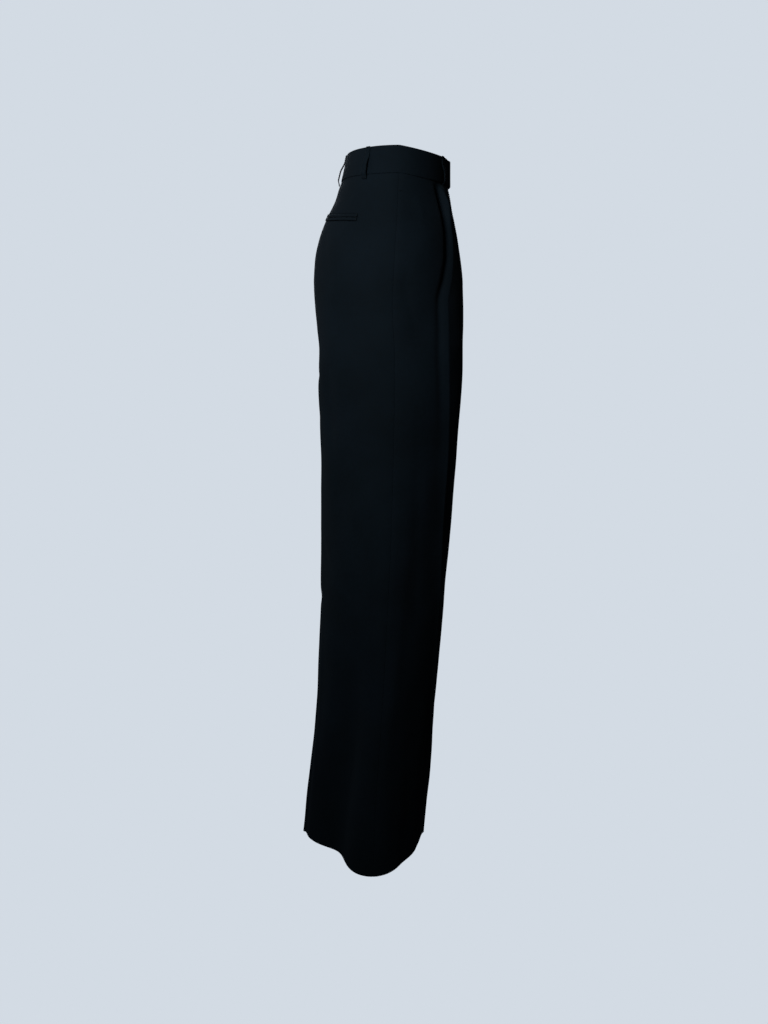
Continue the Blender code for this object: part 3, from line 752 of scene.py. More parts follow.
# %% [markdown]
# ## Waistband
# The waistband is a folded strip: one layer outside, a fold along the top edge, one layer inside, and the
# panels' top edges caught between the two. It is cut in two halves with a seam at the centre back. The right
# half laps over the left one in front and is closed by a hidden hook. A block would look like leather, so the
# folded profile is drawn point by point and carried round the waist, and it rolls shut at both ends.

# %% Make the waistband
BAND_LAYER = 0.00085
BAND_BULK, BULK_BEGINS, BULK_GROWS = 0.0008, 0.022, 0.010
# Where the outer layer's lower edge curls in: distances above the edge, and how far in.
BAND_ROLL = np.array([[0.0024, 0.0012, 0.0005, 0.0002], [0.00003, 0.00010, 0.00018, 0.00024]])
BAND_ROWS, BAND_COLUMNS = 16, 121
BAND_FOLD, BAND_FLAT = 0.0018, 0.0040
INNER_SHORT = 0.0003
# At each end the two layers close on each other. At 90 degrees the section is shut, and at 0 it is open.
BAND_CLOSING = np.radians([90, 65, 40, 18])
LAP = 0.036
HOOK_THICK = 0.0008
LAP_RISE = BAND_CLOTH + HOOK_THICK + 2 * GAP
DEGREES_PER_METRE = math.degrees(1 / (half_width(0) * MM))


def girdle(drop, angle, lift):
    """Places counted round from the right side seam, and on past the centre front or back to the left."""
    drop, angle, lift = np.broadcast_arrays(*[np.asarray(value, float) for value in (drop, angle, lift)])
    inner = by_half(angle, inner_angle, drop)
    beyond = np.abs(angle) > inner
    left_angle = np.copysign(2 * inner, angle) - angle
    right = lifted("right", drop, np.where(beyond, np.sign(angle) * inner, angle), lift)
    left = lifted("left", drop, np.where(beyond, left_angle, np.sign(angle) * inner), lift)
    return np.where(beyond[..., None], left, right)


def band_half(name, side):
    inside = np.linspace(BAND_HEIGHT - INNER_SHORT, BAND_FOLD, BAND_ROWS)
    outside = np.append(np.linspace(BAND_FOLD, BAND_HEIGHT - BAND_FLAT, BAND_ROWS), BAND_HEIGHT - BAND_ROLL[0])
    fold = np.pi * np.linspace(0, 1, 7)
    drops = np.concatenate([inside, BAND_LAYER * (1 - np.sin(fold)), outside])[:, None]
    bulk = BAND_BULK * eased((inside - BULK_BEGINS) / BULK_GROWS)
    lifts = np.concatenate([-BAND_LAYER - bulk, -BAND_LAYER * np.cos(fold), np.full(BAND_ROWS, BAND_LAYER),
                            BAND_LAYER - BAND_ROLL[1]])[:, None]
    run = np.concatenate([[0], np.cumsum(np.hypot(np.diff(drops[:, 0]), np.diff(lifts[:, 0])))])

    short = GAP / 2 + CLOTH / 2 + BAND_LAYER
    start, front = -inner_angle("back", drops) + short * DEGREES_PER_METRE, inner_angle("front", drops)
    end = front + (LAP - BAND_LAYER if side == "right" else -short) * DEGREES_PER_METRE
    shut = np.concatenate([BAND_CLOSING, np.zeros(BAND_COLUMNS), BAND_CLOSING[::-1]])
    share = np.pad(np.linspace(0, 1, BAND_COLUMNS), len(BAND_CLOSING), "edge")
    outward = np.sign(share - 0.5) * BAND_LAYER * np.sin(shut)
    angles = start + (end - start) * share + outward * DEGREES_PER_METRE
    lift = lifts * np.cos(shut)
    if side == "right":
        ramp = LAP / 3 * DEGREES_PER_METRE
        grid = girdle(drops, angles, lift + LAP_RISE * eased((angles - front + 2 * ramp) / (1.8 * ramp)))
    else:
        grid = lifted(side, drops, angles, lift)
    uv = joined(run[:, None] + 0.3, angles / DEGREES_PER_METRE)
    return shell(name, grid, uv, suiting, side == "right")


bands = {side: band_half("suiting_waistband_" + side, side) for side in SIDES}
print("band halves:", [len(band.data.polygons) for band in bands.values()], "faces")

# %% [markdown]
# ## Belt loops
# A belt loop is a strip sewn into a narrow flat tube and pressed, 10 mm wide. It is tacked at the top edge,
# stands clear of the band so that a belt passes, and is tacked again just under the band. Each loop is a
# closed tube with a section like a flattened pill, carried down its own line off the band.

# %% Make the belt loops
LOOP_WIDTH = 0.010
LOOP_CLOTH = 0.0015
LOOP_STAND = 0.0040
LOOP_LEAVES = 0.009
LOOP_OPENS = 0.018
LOOP_TOP = -0.0006
LOOP_BOTTOM = 0.047
LOOP_TURN = 0.009
LOOP_RINGS = 34
LOOP_TIP, TOP_SHOULDER, BOTTOM_SHOULDER = 0.0003, 0.0012, 0.0010
LOOP_WOBBLE, WOBBLE_LENGTH = 0.00012, 0.0043
# How thick a loop is at the last two rings of each end, as shares of its full thickness.
TAPERED = (0.55, 0.85)
# The waist is flatter than a circle, so a loop takes a little more angle than its width on a circle would.
LOOP_SPREAD = 1.12
CLEAR = 0.00005
LOOPS = {"back": -90, "side_right": -34, "side_left": -146, "front_right": 58, "front_left": 122}


def loop_lift(drop):
    """How far a loop's middle stands out: flat on the band at first, then clear of it, then back in."""
    held = BAND_CLOTH / 2 + LOOP_CLOTH / 2 + 2 * CLEAR
    opening, closing = (drop - LOOP_LEAVES) / LOOP_OPENS, (LOOP_BOTTOM - drop) / LOOP_TURN
    return held + LOOP_STAND * eased(opening) * eased(closing)


def pill(width, height, square, points=16):
    """A flat closed section with rounded ends: across and up."""
    turn = 2 * np.pi * (np.arange(points) + 0.5) / points
    return powered(np.cos(turn), square) * width / 2, powered(np.sin(turn), 0.7) * height / 2


def on_loop(angle, across, drops, up=LOOP_CLOTH / 2 + CLEAR):
    """Points on a belt loop: across and up in metres from its middle, or else on its outer face."""
    around = angle + across * DEGREES_PER_METRE * LOOP_SPREAD
    points = girdle(np.maximum(drops, 0), around, loop_lift(drops) + up)
    points[..., 2] -= np.minimum(drops, 0)
    return points


def belt_loop(name, angle):
    middle = np.linspace(LOOP_TOP + TOP_SHOULDER, LOOP_BOTTOM - BOTTOM_SHOULDER, LOOP_RINGS)
    drops = np.concatenate([
        [LOOP_TOP, LOOP_TOP + LOOP_TIP], middle, [LOOP_BOTTOM - LOOP_TIP, LOOP_BOTTOM]])[:, None]
    across, up = pill(LOOP_WIDTH, LOOP_CLOTH, 0.45)
    ends = np.concatenate([TAPERED, np.ones(LOOP_RINGS), TAPERED[::-1]])[:, None]
    wobble = LOOP_WOBBLE * np.sin(drops / WOBBLE_LENGTH + angle)
    rings = on_loop(angle, across + wobble, drops, up * ends)
    return tube(name, rings, joined(across + 0.7, -drops), suiting)


loops = {place: belt_loop("suiting_loop_" + place, angle) for place, angle in LOOPS.items()}
print("belt loops:", len(loops))

# %% [markdown]
# ## Pockets
# Each back pocket is a double welt: the cloth is cut, and two narrow folded lips fill the opening and meet in
# a fine slit. The lips are soft rolls, so each is a tube with a rounder section, set in the hollow that the
# panel has for it. Behind each side seam a facing closes the pocket's mouth, which shows when the mouth
# gapes.

# %% Make the pockets
LIP_THICK = 0.0019
LIP_RINGS = 60
LIP_SLUMP = 0.00025
FACING_SPAN = (-6, 8)
FACING_DEGREE = 0.0019
FACING_DEPTH = 0.00185
FACING_OVERRUN = 0.004


def pocket_lip(name, side, middle):
    share = np.linspace(0, 1, LIP_RINGS)[:, None]
    angle = POCKET_OUTER + (POCKET_INNER - POCKET_OUTER) * share
    across, up = pill(LIP_HEIGHT - 0.0006, LIP_THICK, 0.8)
    ends = np.pad(np.ones(LIP_RINGS - 2), 1, constant_values=0.6)[:, None]
    slump = LIP_SLUMP * np.sin(share * 9 + middle * 900) * np.sin(np.pi * share)
    lift = -LETTING_IN + CLOTH / 2 + LIP_THICK / 2 + CLEAR
    rings = lifted(side, POCKET_DROP - POCKET_RISE * share + middle + across + slump, angle, lift + up * ends)
    return tube(name, rings, joined(across + 0.9, angle * DEGREE * MM), suiting)


lips = {}
for side in SIDES:
    for lip, middle in (("upper", -LIP_HEIGHT / 2 - GAP / 2), ("lower", LIP_HEIGHT / 2 + GAP / 2)):
        lips[lip, side] = pocket_lip(f"suiting_pocket_lip_{lip}_{side}", side, middle)


def pocket_facing(side):
    drops = np.linspace(MOUTH_TOP - FACING_OVERRUN, MOUTH_BOTTOM + FACING_OVERRUN, 44)[:, None]
    angles = np.linspace(*FACING_SPAN, 10)
    grid = lifted(side, drops, angles, -FACING_DEPTH)
    uv = joined(angles * FACING_DEGREE, -drops)
    return shell("suiting_pocket_facing_" + side, grid, uv, suiting, side == "left")


facings = {side: pocket_facing(side) for side in SIDES}
print("pocket pieces:", len(lips) + len(facings))

# %% [markdown]
# ## Fly
# Behind the lap of the fly a closed zip joins the fronts, and a shield of cloth lies behind the zip. The zip
# is two woven tapes with a nylon coil between them. The coil repeats one turn all the way down, so Geometry
# Nodes place it.

# %% Make the shield and the tapes
FLY_TOP = BAND_HEIGHT + 0.003
ZIP_WIDTH, ZIP_CLOTH = 0.024, 0.0007
SHIELD_WIDTH, SHIELD_BOTTOM, SHIELD_CORNER = 0.042, 0.212, 0.02
SLIDER_THICK = 0.0028
SLIDER_DEPTH = SOLID_CLOTH / 2 + 1.5 * GAP + SLIDER_THICK / 2
ZIP_DEPTH = SLIDER_DEPTH + SLIDER_THICK / 2 + 3 * GAP + 0.0005
SHIELD_DEPTH = ZIP_DEPTH + 0.0019


def behind_front(across, drop, depth):
    """Points behind the centre front: across is x, and depth how far behind the cloth's middle they lie."""
    across, drop = np.broadcast_arrays(np.asarray(across, float), np.asarray(drop, float))
    inward = (ring("axis_out", drop) - np.abs(across) / MM) / half_width(drop)
    cosine = powered(inward, 1 / ring("pinch_front", drop))
    angle = np.minimum(np.degrees(np.arccos(-cosine)), inner_angle("front", drop))
    place = surface("right", drop, angle)
    return joined(across, place[..., 1] + depth, place[..., 2])


def fly_shield():
    straight = SHIELD_BOTTOM - SHIELD_CORNER
    bends = np.radians(np.arange(10, 91, 10))
    drops = np.append(np.linspace(FLY_TOP, straight, 40), straight + SHIELD_CORNER * np.sin(bends))[:, None]
    narrow = np.sqrt(1 - (np.maximum(drops - straight, 0) / (SHIELD_CORNER + 0.0005)) ** 2)
    across = np.linspace(-SHIELD_WIDTH / 2, SHIELD_WIDTH / 2, 16) * narrow
    grid = behind_front(across, drops, SHIELD_DEPTH)
    return shell("suiting_fly_shield", grid, joined(across, -drops), suiting, True)


shield = fly_shield()
print("fly shield:", round(SHIELD_WIDTH / MM), "mm wide")

# %% [markdown]
# ### Polyester thread
# The seams are sewn with a fine core-spun polyester thread, dyed to the cloth. It is smoother than wool, so
# it gives a slightly sharper glint. Two plies twist round each other; their 0.9 mm lay is drawn as a small
# bump.

# %% Thread
LAY = 0.0009


def make_ribbed(name, place, direction, spacing, waver, colours, depth, **values):
    """A finish with fine ribs in two tones. place: the coordinates that the ribs follow, grain or Object."""
    material, tree, shader = new_material(name, **values)
    where = (add_node(tree, "ShaderNodeUVMap", {"uv_map": place}).outputs[0] if place == "grain"
             else add_node(tree, "ShaderNodeTexCoord").outputs[place])
    ribs = add_node(tree, "ShaderNodeTexWave", {"bands_direction": direction}, Vector=where,
                    Scale=bands_each(spacing), Distortion=waver)
    tone = add_node(tree, "ShaderNodeMix", {"data_type": "RGBA"}, _0=ribs.outputs[1], _6=linear(colours[0]),
                    _7=linear(colours[1]))
    bump = add_node(tree, "ShaderNodeBump", Strength=depth, Distance=0.0001, Height=ribs.outputs[1])
    feed(tree, shader, Base_Color=tone.outputs[2], Normal=bump.outputs[0])
    return material


thread = make_ribbed("core_spun_polyester_thread", "Object", "DIAGONAL", LAY, 0.6, ("#0a1116", "#131c23"),
                     0.5, Roughness=0.65, IOR=1.55, Specular_IOR_Level=0.15)
print("thread nodes:", len(thread.node_tree.nodes))

# %% [markdown]
# ## Stitches
# A row of stitches is one small shape repeated along a line. It could be an array or a texture, but Geometry
# Nodes follow any path and keep every stitch the same length. The first tree resamples a path to one point
# for each stitch, sets a slim bead on each point along the path's direction and turns it by a small random
# angle. The second one draws a thread along a path, for bar tacks and for the catch stitch inside the hem.
# The paths are drawn on the form, so a stitch can't float off the cloth.

# %% Helpers for Geometry Nodes
SEED = 7


def new_tree(name, sizes):
    """A node tree that takes a path and a material, and the named sizes as inputs."""
    tree = bpy.data.node_groups.new(name, "GeometryNodeTree")
    tree.interface.new_socket("Path", in_out="INPUT", socket_type="NodeSocketGeometry")
    for size, value in sizes.items():
        socket = tree.interface.new_socket(size, in_out="INPUT", socket_type="NodeSocketFloat")
        socket.default_value = value
    tree.interface.new_socket("Finish", in_out="INPUT", socket_type="NodeSocketMaterial")
    tree.interface.new_socket("Geometry", in_out="OUTPUT", socket_type="NodeSocketGeometry")
    return tree, add_node(tree, "NodeGroupInput")


def end_tree(tree, inputs, made):
    """Realizes the instances, smooths them, gives them their material and sends them out."""
    real = add_node(tree, "GeometryNodeRealizeInstances", _0=made)
    smooth = add_node(tree, "GeometryNodeSetShadeSmooth", _0=real.outputs[0])
    coloured = add_node(tree, "GeometryNodeSetMaterial", Geometry=smooth.outputs[0],
                        Material=inputs.outputs["Finish"])
    add_node(tree, "NodeGroupOutput", _0=coloured.outputs[0])
    return tree


def points_along(tree, path, pitch):
    """Points on a path, a pitch apart."""
    curve = add_node(tree, "GeometryNodeMeshToCurve", Mesh=path)
    return add_node(tree, "GeometryNodeResampleCurve", {"mode": "LENGTH"}, Curve=curve.outputs[0],
                    Length=pitch).outputs[0]


print("seed:", SEED)

# %% Running stitch


def bead_tree():
    tree, inputs = new_tree("running_stitch", {
        "Stitch": 0.0026, "Gap": 0.0007, "Thread": 0.0004, "Wander": 0.08})
    path, stitch, gap, width, wander = list(inputs.outputs)[:5]
    pitch = add_node(tree, "ShaderNodeMath", {"operation": "ADD"}, _0=stitch, _1=gap)
    points = points_along(tree, path, pitch.outputs[0])
    tangent = add_node(tree, "GeometryNodeInputTangent")
    along = add_node(tree, "FunctionNodeAlignRotationToVector", {"axis": "Z"}, Vector=tangent.outputs[0])
    low = add_node(tree, "ShaderNodeMath", {"operation": "MULTIPLY"}, _0=wander, _1=-1.0)
    turn = add_node(tree, "FunctionNodeRandomValue", {"data_type": "FLOAT"}, _2=low.outputs[0], _3=wander,
                    Seed=SEED)
    angles = add_node(tree, "ShaderNodeCombineXYZ", X=turn.outputs[1], Y=turn.outputs[1])
    turned = add_node(tree, "FunctionNodeRotateRotation", {"rotation_space": "LOCAL"}, _0=along.outputs[0],
                      _1=angles.outputs[0])
    half = add_node(tree, "ShaderNodeMath", {"operation": "MULTIPLY"}, _0=stitch, _1=0.5)
    size = add_node(tree, "ShaderNodeCombineXYZ", X=width, Y=width, Z=half.outputs[0])
    bead = add_node(tree, "GeometryNodeMeshUVSphere", Segments=6, Rings=5, Radius=1.0)
    placed = add_node(tree, "GeometryNodeInstanceOnPoints", Points=points, Instance=bead.outputs[0],
                      Rotation=turned.outputs[0], Scale=size.outputs[0])
    return end_tree(tree, inputs, placed.outputs[0])


TREES = {"bead": bead_tree()}
print("nodes in the running stitch:", len(TREES["bead"].nodes))

# %% Laid thread


def laid_tree():
    tree, inputs = new_tree("laid_thread", {"Thread": 0.0002})
    path, radius = list(inputs.outputs)[:2]
    curve = add_node(tree, "GeometryNodeMeshToCurve", Mesh=path)
    section = add_node(tree, "GeometryNodeCurvePrimitiveCircle", Resolution=5, Radius=radius)
    drawn = add_node(tree, "GeometryNodeCurveToMesh", Curve=curve.outputs[0], _1=section.outputs[0])
    drawn.inputs["Fill Caps"].default_value = True
    return end_tree(tree, inputs, drawn.outputs[0])


TREES["laid"] = laid_tree()
print("nodes in the laid thread:", len(TREES["laid"].nodes))

# %% Sew along paths


def sewn(name, kind, paths, material, **sizes):
    """Runs a tree on paths, each an array of points, and keeps the result as a plain mesh object."""
    counts = np.cumsum([0] + [len(path) for path in paths])
    edges = [(i, i + 1) for start, end in zip(counts, counts[1:]) for i in range(start, end - 1)]
    lines = bpy.data.meshes.new(name + "_path")
    lines.from_pydata(np.vstack(paths).tolist(), edges, [])
    path = add_object(name + "_path", lines)
    modifier = path.modifiers.new("stitches", "NODES")
    modifier.node_group = TREES[kind]
    values = {"Finish": material, **sizes}
    for socket in TREES[kind].interface.items_tree:
        if socket.in_out == "INPUT" and socket.name in values:
            modifier[socket.identifier] = values[socket.name]
    seen = bpy.context.evaluated_depsgraph_get()
    mesh = bpy.data.meshes.new_from_object(path.evaluated_get(seen), depsgraph=seen)
    mesh.name = name
    bpy.data.objects.remove(path)
    bpy.data.meshes.remove(lines)
    print(f"{name}: {len(paths)} paths, {len(mesh.polygons)} faces")
    return add_object(name, mesh)


print("trees to sew with:", list(TREES))

# %% [markdown]
# The fly is held by a J-shaped row, 33 mm from its edge. Belt loops have a row along each edge. Inside, a row
# runs along the band's lower edge. Bar tacks, which are dense zigzags, hold the ends of the loops, pockets
# and fly.

# %% Running stitches
STITCH, LOOP_STITCH, STITCH_GAP = 0.0026, 0.0024, 0.0007
FLY_STITCH = 0.033
J_TOP, J_TURN = 0.044, 0.160
J_END_ANGLE = 84
THREAD_ON_CLOTH = CLOTH / 2 + 0.00008


def from_centre(side, half, drops, distance):
    """Angles at distances from a half's inner end, one for each drop."""
    angles, lengths = lengths_round(side, half, drops)
    return np.array([np.interp(run[-1] - off, run, row) for off, run, row in zip(distance, lengths, angles)])


straight = np.linspace(J_TOP, J_TURN, 60)
turn = np.radians(np.linspace(0, J_END_ANGLE, 30))[1:]
j_drops = np.append(straight, J_TURN + (FLY_BOTTOM - J_TURN) * np.sin(turn))
j_off = np.append(np.full(len(straight), FLY_STITCH), FLY_STITCH * np.cos(turn))
j_angles = from_centre("right", "front", j_drops, j_off)
fly_row = lifted("right", j_drops, j_angles, THREAD_ON_CLOTH + fly_rise(j_drops, j_off + fly_lap(j_drops)))
stitches = {"fly": sewn("stitch_fly", "bead", [fly_row], thread, Stitch=STITCH, Gap=STITCH_GAP)}

LOOP_ROW = 0.0036
rows = [on_loop(angle, across, np.linspace(0.0015, LOOP_BOTTOM - 0.003, 40))
        for angle in LOOPS.values() for across in (-LOOP_ROW, LOOP_ROW)]
stitches["loops"] = sewn("stitch_loop_edges", "bead", rows, thread, Stitch=LOOP_STITCH, Gap=STITCH_GAP,
                         Thread=0.00034)

BAND_ROW = BAND_HEIGHT - 0.0022
band_rows = []
for side in SIDES:
    angle = np.linspace(-inner_angle("back", BAND_ROW) + 1, inner_angle("front", BAND_ROW) - 1.5, 200)
    band_rows.append(lifted(side, BAND_ROW, angle, -BAND_LAYER - BAND_BULK - THREAD_ON_CLOTH))
stitches["band"] = sewn("stitch_band_inside", "bead", band_rows, thread, Stitch=STITCH, Gap=STITCH_GAP)

# %% Bar tacks
TACK_PITCH = 0.00055
TACK_WIDTH = 0.0016
LOOP_TACKS = (LOOP_TOP + 0.0022, LOOP_BOTTOM - 0.0018)
POCKET_TACK, POCKET_TACK_WIDTH = 2 * LIP_HEIGHT + 0.0015, 0.0018
MOUTH_TACK, MOUTH_TACK_ANGLE = 0.008, 2.6
FLY_TACK, FLY_TACK_DROP, FLY_TACK_EDGE = 0.007, FLY_BOTTOM - 0.002, 0.0022


def zigzag(length, width):
    """A dense zigzag along a bar: distance along it and across it."""
    count = int(length / TACK_PITCH)
    return np.linspace(-length / 2, length / 2, count), width / 2 * (-1.0) ** np.arange(count)


tacks = []
for angle in LOOPS.values():
    across, down = zigzag(LOOP_WIDTH - TACK_WIDTH, TACK_WIDTH)
    tacks += [on_loop(angle, across, drop + down) for drop in LOOP_TACKS]
down, across = zigzag(POCKET_TACK, POCKET_TACK_WIDTH)
for side in SIDES:
    for angle, rise, inward in ((POCKET_OUTER, 0, -0.4), (POCKET_INNER, POCKET_RISE, 0.4)):
        tacks.append(lifted(side, POCKET_DROP - rise + down, angle + inward + across / (DEGREE * MM),
                            LIP_THICK / 2 + 0.0003))
across, down = zigzag(MOUTH_TACK, TACK_WIDTH)
for side in SIDES:
    for drop in (MOUTH_TOP, MOUTH_BOTTOM):
        tacks.append(lifted(side, drop + down, MOUTH_TACK_ANGLE + across / FACING_DEGREE, THREAD_ON_CLOTH))
down, across = zigzag(FLY_TACK, TACK_WIDTH)
fly_angles = from_centre("right", "front", FLY_TACK_DROP + down, FLY_TACK_EDGE + across)
tacks.append(lifted("right", FLY_TACK_DROP + down, fly_angles, THREAD_ON_CLOTH + 0.0001))
stitches["tacks"] = sewn("stitch_bar_tacks", "laid", tacks, thread, Thread=0.00022)

# %% [markdown]
# The hem is caught up by hand on the inside with a herringbone stitch, which doesn't show on the right side.
# Its path goes up and down between the turned-up edge and the panel above it.

# %% Catch stitch in the hems
CATCH_PITCH = 0.0055
CATCH_REACH = 0.0030
CATCH_START = 0.015


def catch_path(side, half):
    """A zigzag over the turn-up's raw edge, from the side seam to the inseam."""
    edge = HEM_LINE - HEM_TURN_UP
    angles, lengths = lengths_round(side, half, np.array([edge]))
    count = int((lengths[0, -1] - 2 * CATCH_START) / CATCH_PITCH)
    place = CATCH_START + CATCH_PITCH * np.arange(count)
    down = CATCH_REACH * (-1.0) ** np.arange(count)
    lift = np.where(down > 0, -2 * HEM_ROLL - THREAD_ON_CLOTH, -THREAD_ON_CLOTH - 0.0002)
    return lifted(side, edge + down, np.interp(place, lengths[0], angles[0]), lift)


catches = [catch_path(side, half) for side in SIDES for half in COLUMNS]
stitches["hem"] = sewn("stitch_hem_catch", "laid", catches, thread, Thread=0.0002)

# %% [markdown]
# ## Zip
# The tapes are woven polyester, dull and finely ribbed across. The coil between them is one nylon
# monofilament, drawn and moulded to and fro, with a soft even shine. A third tree sets a short arch of it at
# each point of the centre line, to the right and the left in turn. The slider and the hook are zinc, cast,
# tumbled and plated dark: small smooth solids with a blurred metal glint, so the plain ones stay and only get
# that finish.

# %% Tape, nylon and metal
TAPE_RIB = 0.0008
NYLON_SKIN = 0.002
ZINC_SKIN = 0.0015


def make_plain(name, colour, roughness, metallic, grain):
    """A moulded or cast finish: one colour with a fine uneven skin. grain is its size."""
    material, tree, shader = new_material(name, Base_Color=linear(colour), Metallic=metallic)
    where = add_node(tree, "ShaderNodeTexCoord").outputs["Object"]
    skin = add_node(tree, "ShaderNodeTexNoise", Vector=where, Scale=1 / grain, Detail=4.0).outputs[0]
    rough = add_node(tree, "ShaderNodeMapRange", Value=skin, To_Min=roughness - 0.08, To_Max=roughness + 0.10)
    bump = add_node(tree, "ShaderNodeBump", Strength=0.3, Distance=0.00002, Height=skin)
    feed(tree, shader, Roughness=rough.outputs[0], Normal=bump.outputs[0])
    return material


tape = make_ribbed("woven_polyester_tape", "grain", "Y", TAPE_RIB, 0.4, ("#0b0f13", "#171d22"), 0.4,
                   Roughness=0.7, Specular_IOR_Level=0.25)
nylon = make_plain("nylon_monofilament", "#11161a", 0.35, 0.0, NYLON_SKIN)
plated = make_plain("dark_plated_zinc", "#5c6066", 0.30, 1.0, ZINC_SKIN)
print("finishes:", [finish.name for finish in (suiting, thread, tape, nylon, plated)])

# %% Make the zip
ZIP_BOTTOM = 0.200
COIL_PITCH = 0.0012
COIL_WIDTH = 0.0026
COIL_DEPTH, COIL_WIRE = 0.0011, 0.0008
COIL_ASIDE = 0.35
drops = np.linspace(FLY_TOP, ZIP_BOTTOM, 40)[:, None]
tapes = []
for way in (-1, 1):
    across = np.linspace(0.0007, ZIP_WIDTH / 2, 6)[::way] * way
    grid = behind_front(across, drops, ZIP_DEPTH)
    name = "zip_tape_right" if way < 0 else "zip_tape_left"
    tapes.append(shell(name, grid, joined(across, -drops), tape, True, ZIP_CLOTH))


def coil_tree():
    tree, inputs = new_tree("zip_coil", {"Pitch": COIL_PITCH, "Width": COIL_WIDTH})
    path, pitch, width = list(inputs.outputs)[:3]
    points = points_along(tree, path, pitch)
    number = add_node(tree, "GeometryNodeInputIndex")
    odd = add_node(tree, "ShaderNodeMath", {"operation": "MODULO"}, _0=number.outputs[0], _1=2.0)
    way = add_node(tree, "ShaderNodeMath", {"operation": "MULTIPLY_ADD"}, _0=odd.outputs[0],
                   _1=2 * COIL_ASIDE, _2=-COIL_ASIDE)
    aside = add_node(tree, "ShaderNodeMath", {"operation": "MULTIPLY"}, _0=way.outputs[0], _1=width)
    shift = add_node(tree, "ShaderNodeCombineXYZ", X=aside.outputs[0])
    moved = add_node(tree, "GeometryNodeSetPosition", _0=points, Offset=shift.outputs[0])
    size = add_node(tree, "ShaderNodeCombineXYZ", X=width, Y=COIL_DEPTH, Z=COIL_WIRE)
    arch = add_node(tree, "GeometryNodeMeshUVSphere", Segments=10, Rings=6, Radius=0.5)
    placed = add_node(tree, "GeometryNodeInstanceOnPoints", Points=moved.outputs[0], Instance=arch.outputs[0],
                      Scale=size.outputs[0])
    return end_tree(tree, inputs, placed.outputs[0])


TREES["coil"] = coil_tree()
coil_line = behind_front(0, np.linspace(FLY_TOP + 0.012, ZIP_BOTTOM - 0.002, 60), ZIP_DEPTH - COIL_DEPTH)
coil = sewn("zip_coil", "coil", [coil_line], nylon, Pitch=COIL_PITCH, Width=COIL_WIDTH)
for node in ("waist_hook", "fly_zip_slider"):
    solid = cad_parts[node]
    solid.data.materials.clear()
    solid.data.materials.append(plated)

# %% [markdown]
# ## Joining the dressed pieces to the frame
# Trousers have no joints, so every piece rides on the one body, and the solid that it stands for is hidden. A
# cut piece's flat size is read from its grain map, because that map is the cut laid out flat, and printed.

# %% Ride, replace and measure the cuts
NODES = {
    **{f"{half}_{side}": piece for (half, side), piece in panels.items()},
    **{"waistband_" + side: band for side, band in bands.items()},
    **{"belt_loop_" + place: loop for place, loop in loops.items()},
    **{f"back_pocket_lip_{lip}_{side}": piece for (lip, side), piece in lips.items()},
    **{"side_pocket_facing_" + side: facing for side, facing in facings.items()},
    "fly_shield": shield,
}
DRESSED = [(piece, "suiting", node) for node, piece in NODES.items()]
DRESSED += [(piece, "suiting", None) for piece in stitches.values()]
DRESSED += [(piece, "zip_tape", "fly_zip") for piece in (*tapes, coil)]
for piece, finish, node in DRESSED:
    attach(piece, "root")
    if node:
        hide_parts(node)


def cut_size(piece):
    """Width, length and area of a piece's cut, from its grain map."""
    mesh = piece.data
    flat = np.zeros(2 * len(mesh.loops))
    mesh.uv_layers["grain"].data.foreach_get("uv", flat)
    corners = flat.reshape(-1, 4, 2)
    across, along = np.ptp(corners.reshape(-1, 2), axis=0)
    diagonals = corners[:, 2] - corners[:, 0], corners[:, 3] - corners[:, 1]
    area = np.abs(diagonals[0][:, 0] * diagonals[1][:, 1] - diagonals[0][:, 1] * diagonals[1][:, 0]).sum() / 2
    return float(across), float(along), float(min(area, across * along))


def declare(piece):
    width, length, area = cut_size(piece)
    print(f"{piece.name}: cut {width / MM:.0f} by {length / MM:.0f} mm, {area:.3f} square metres")


for (half, side), piece in panels.items():
    declare(piece)
for side in SIDES:
    declare(bands[side])
    declare(facings[side])
declare(shield)

# %% [markdown]
# ## Backdrop, light and camera
# The trousers stand alone before a plain pale ground. The ground is one wide dome with a flat floor, and it
# glows with one even colour but lights nothing, so the near-black cloth keeps its depth. A soft key from the
# upper left and behind models the side and falls off down the legs. A cooler strip rims the seat, and two
# wide boxes on the far side give shape to the other views.

# %% Backdrop
BACKDROP = "#d3dbe4"
DOME_RADIUS = 8
FLOOR = -1.6
ground = bpy.data.materials.new("plain_pale_backdrop")
ground.use_nodes = True
ground.node_tree.nodes.clear()
glow = add_node(ground.node_tree, "ShaderNodeEmission", Color=linear(BACKDROP), Strength=1.0)
add_node(ground.node_tree, "ShaderNodeOutputMaterial", Surface=glow.outputs[0])

bpy.ops.mesh.primitive_uv_sphere_add(segments=64, ring_count=32, radius=DOME_RADIUS)
dome = bpy.context.object
dome.name = "backdrop_dome"
for vertex in dome.data.vertices:
    vertex.co.z = max(vertex.co.z, FLOOR)
dome.data.flip_normals()
dome.data.materials.append(ground)
dome.visible_diffuse = dome.visible_glossy = dome.visible_shadow = False

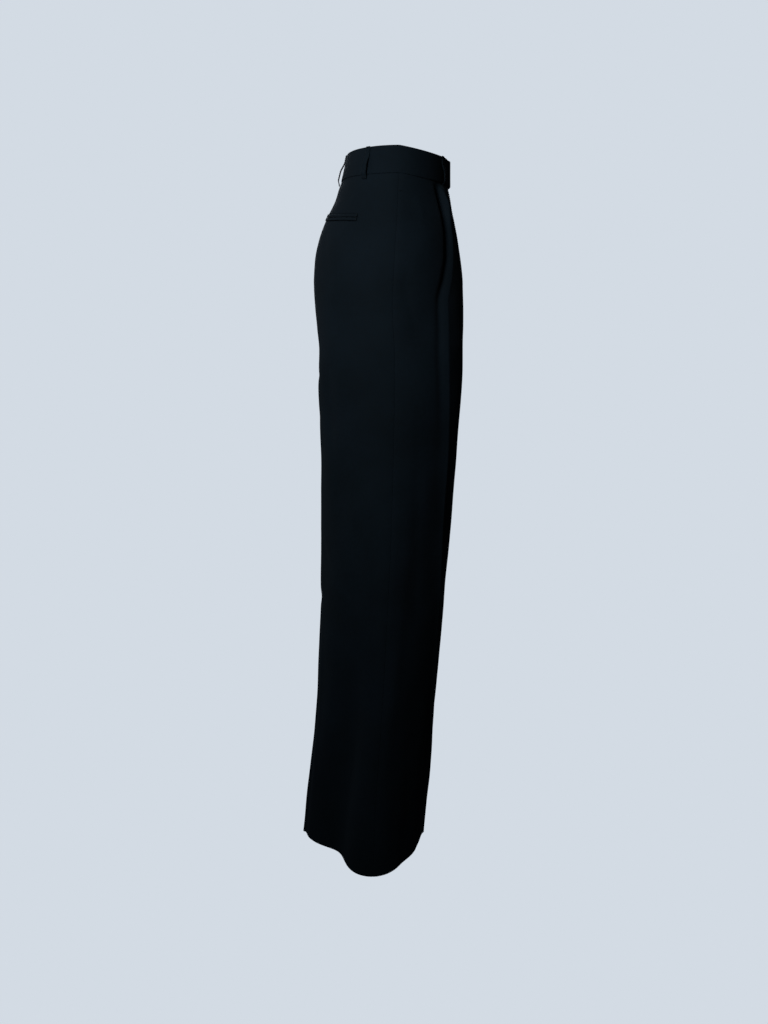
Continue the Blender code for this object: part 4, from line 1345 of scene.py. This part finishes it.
world = bpy.data.worlds.new("dim_room")
bpy.context.scene.world = world
world.use_nodes = True
feed(world.node_tree, world.node_tree.nodes["Background"], Color=linear("#dfe8f2"), Strength=0.02)
print("the floor lies", round(-FLOOR - OUTSEAM, 2), "m below the hems")

# %% Lights


def aim(name, data, place, target):
    """Puts a light or a camera at a place and turns it to a target."""
    aimed = add_object(name, data)
    aimed.location = place
    aimed.rotation_mode = "QUATERNION"
    aimed.rotation_quaternion = (Vector(target) - Vector(place)).to_track_quat("-Z", "Y")
    return aimed


Light = namedtuple("Light", "name place target size spread power colour")
LIGHTS = [
    Light("key_softbox", (-1.50, 0.68, 0.55), (0, 0.03, -0.08), (0.6, 0.6), 78, 3.9, "#f6f5f2"),
    Light("rim_strip", (0.2, 1.9, 0.3), (0.05, 0.1, -0.3), (0.4, 1.2), 120, 0.8, "#eef4ff"),
    Light("far_softbox", (1.8, 0.25, 0.4), (0, 0, -0.45), (0.8, 1.4), 120, 6, "#eef4ff"),
    Light("far_back_softbox", (1.2, 1.6, 0.3), (0, 0, -0.5), (0.8, 1.4), 150, 1.6, "#eef4ff"),
]
for light in LIGHTS:
    lamp = bpy.data.lights.new(light.name, "AREA")
    lamp.shape, lamp.size, lamp.size_y = "RECTANGLE", *light.size
    lamp.energy, lamp.color = light.power, linear(light.colour)[:3]
    lamp.spread = math.radians(light.spread)
    aim(light.name, lamp, light.place, light.target)
print("lights:", len(LIGHTS))

# %% [markdown]
# The camera stands square to the wearer's right side, 1.8 m away and a little above the middle, and looks
# slightly down, as a shop's camera does. The standard view transform keeps the blacks and the pale ground as
# they are.

# %% Camera
CAMERA_PLACE = (-1.8, 0.0206, -0.24)
CAMERA_TARGET = (0, 0.0206, -0.573)
SENSOR = 36
LENS = 38.32
camera_data = bpy.data.cameras.new("side_camera")
camera_data.sensor_width, camera_data.lens = SENSOR, LENS
bpy.context.scene.camera = aim("side_camera", camera_data, CAMERA_PLACE, CAMERA_TARGET)
bpy.context.scene.view_settings.view_transform = "Standard"
print("camera to target:", round(math.dist(CAMERA_PLACE, CAMERA_TARGET), 2), "m, with a lens of", LENS, "mm")
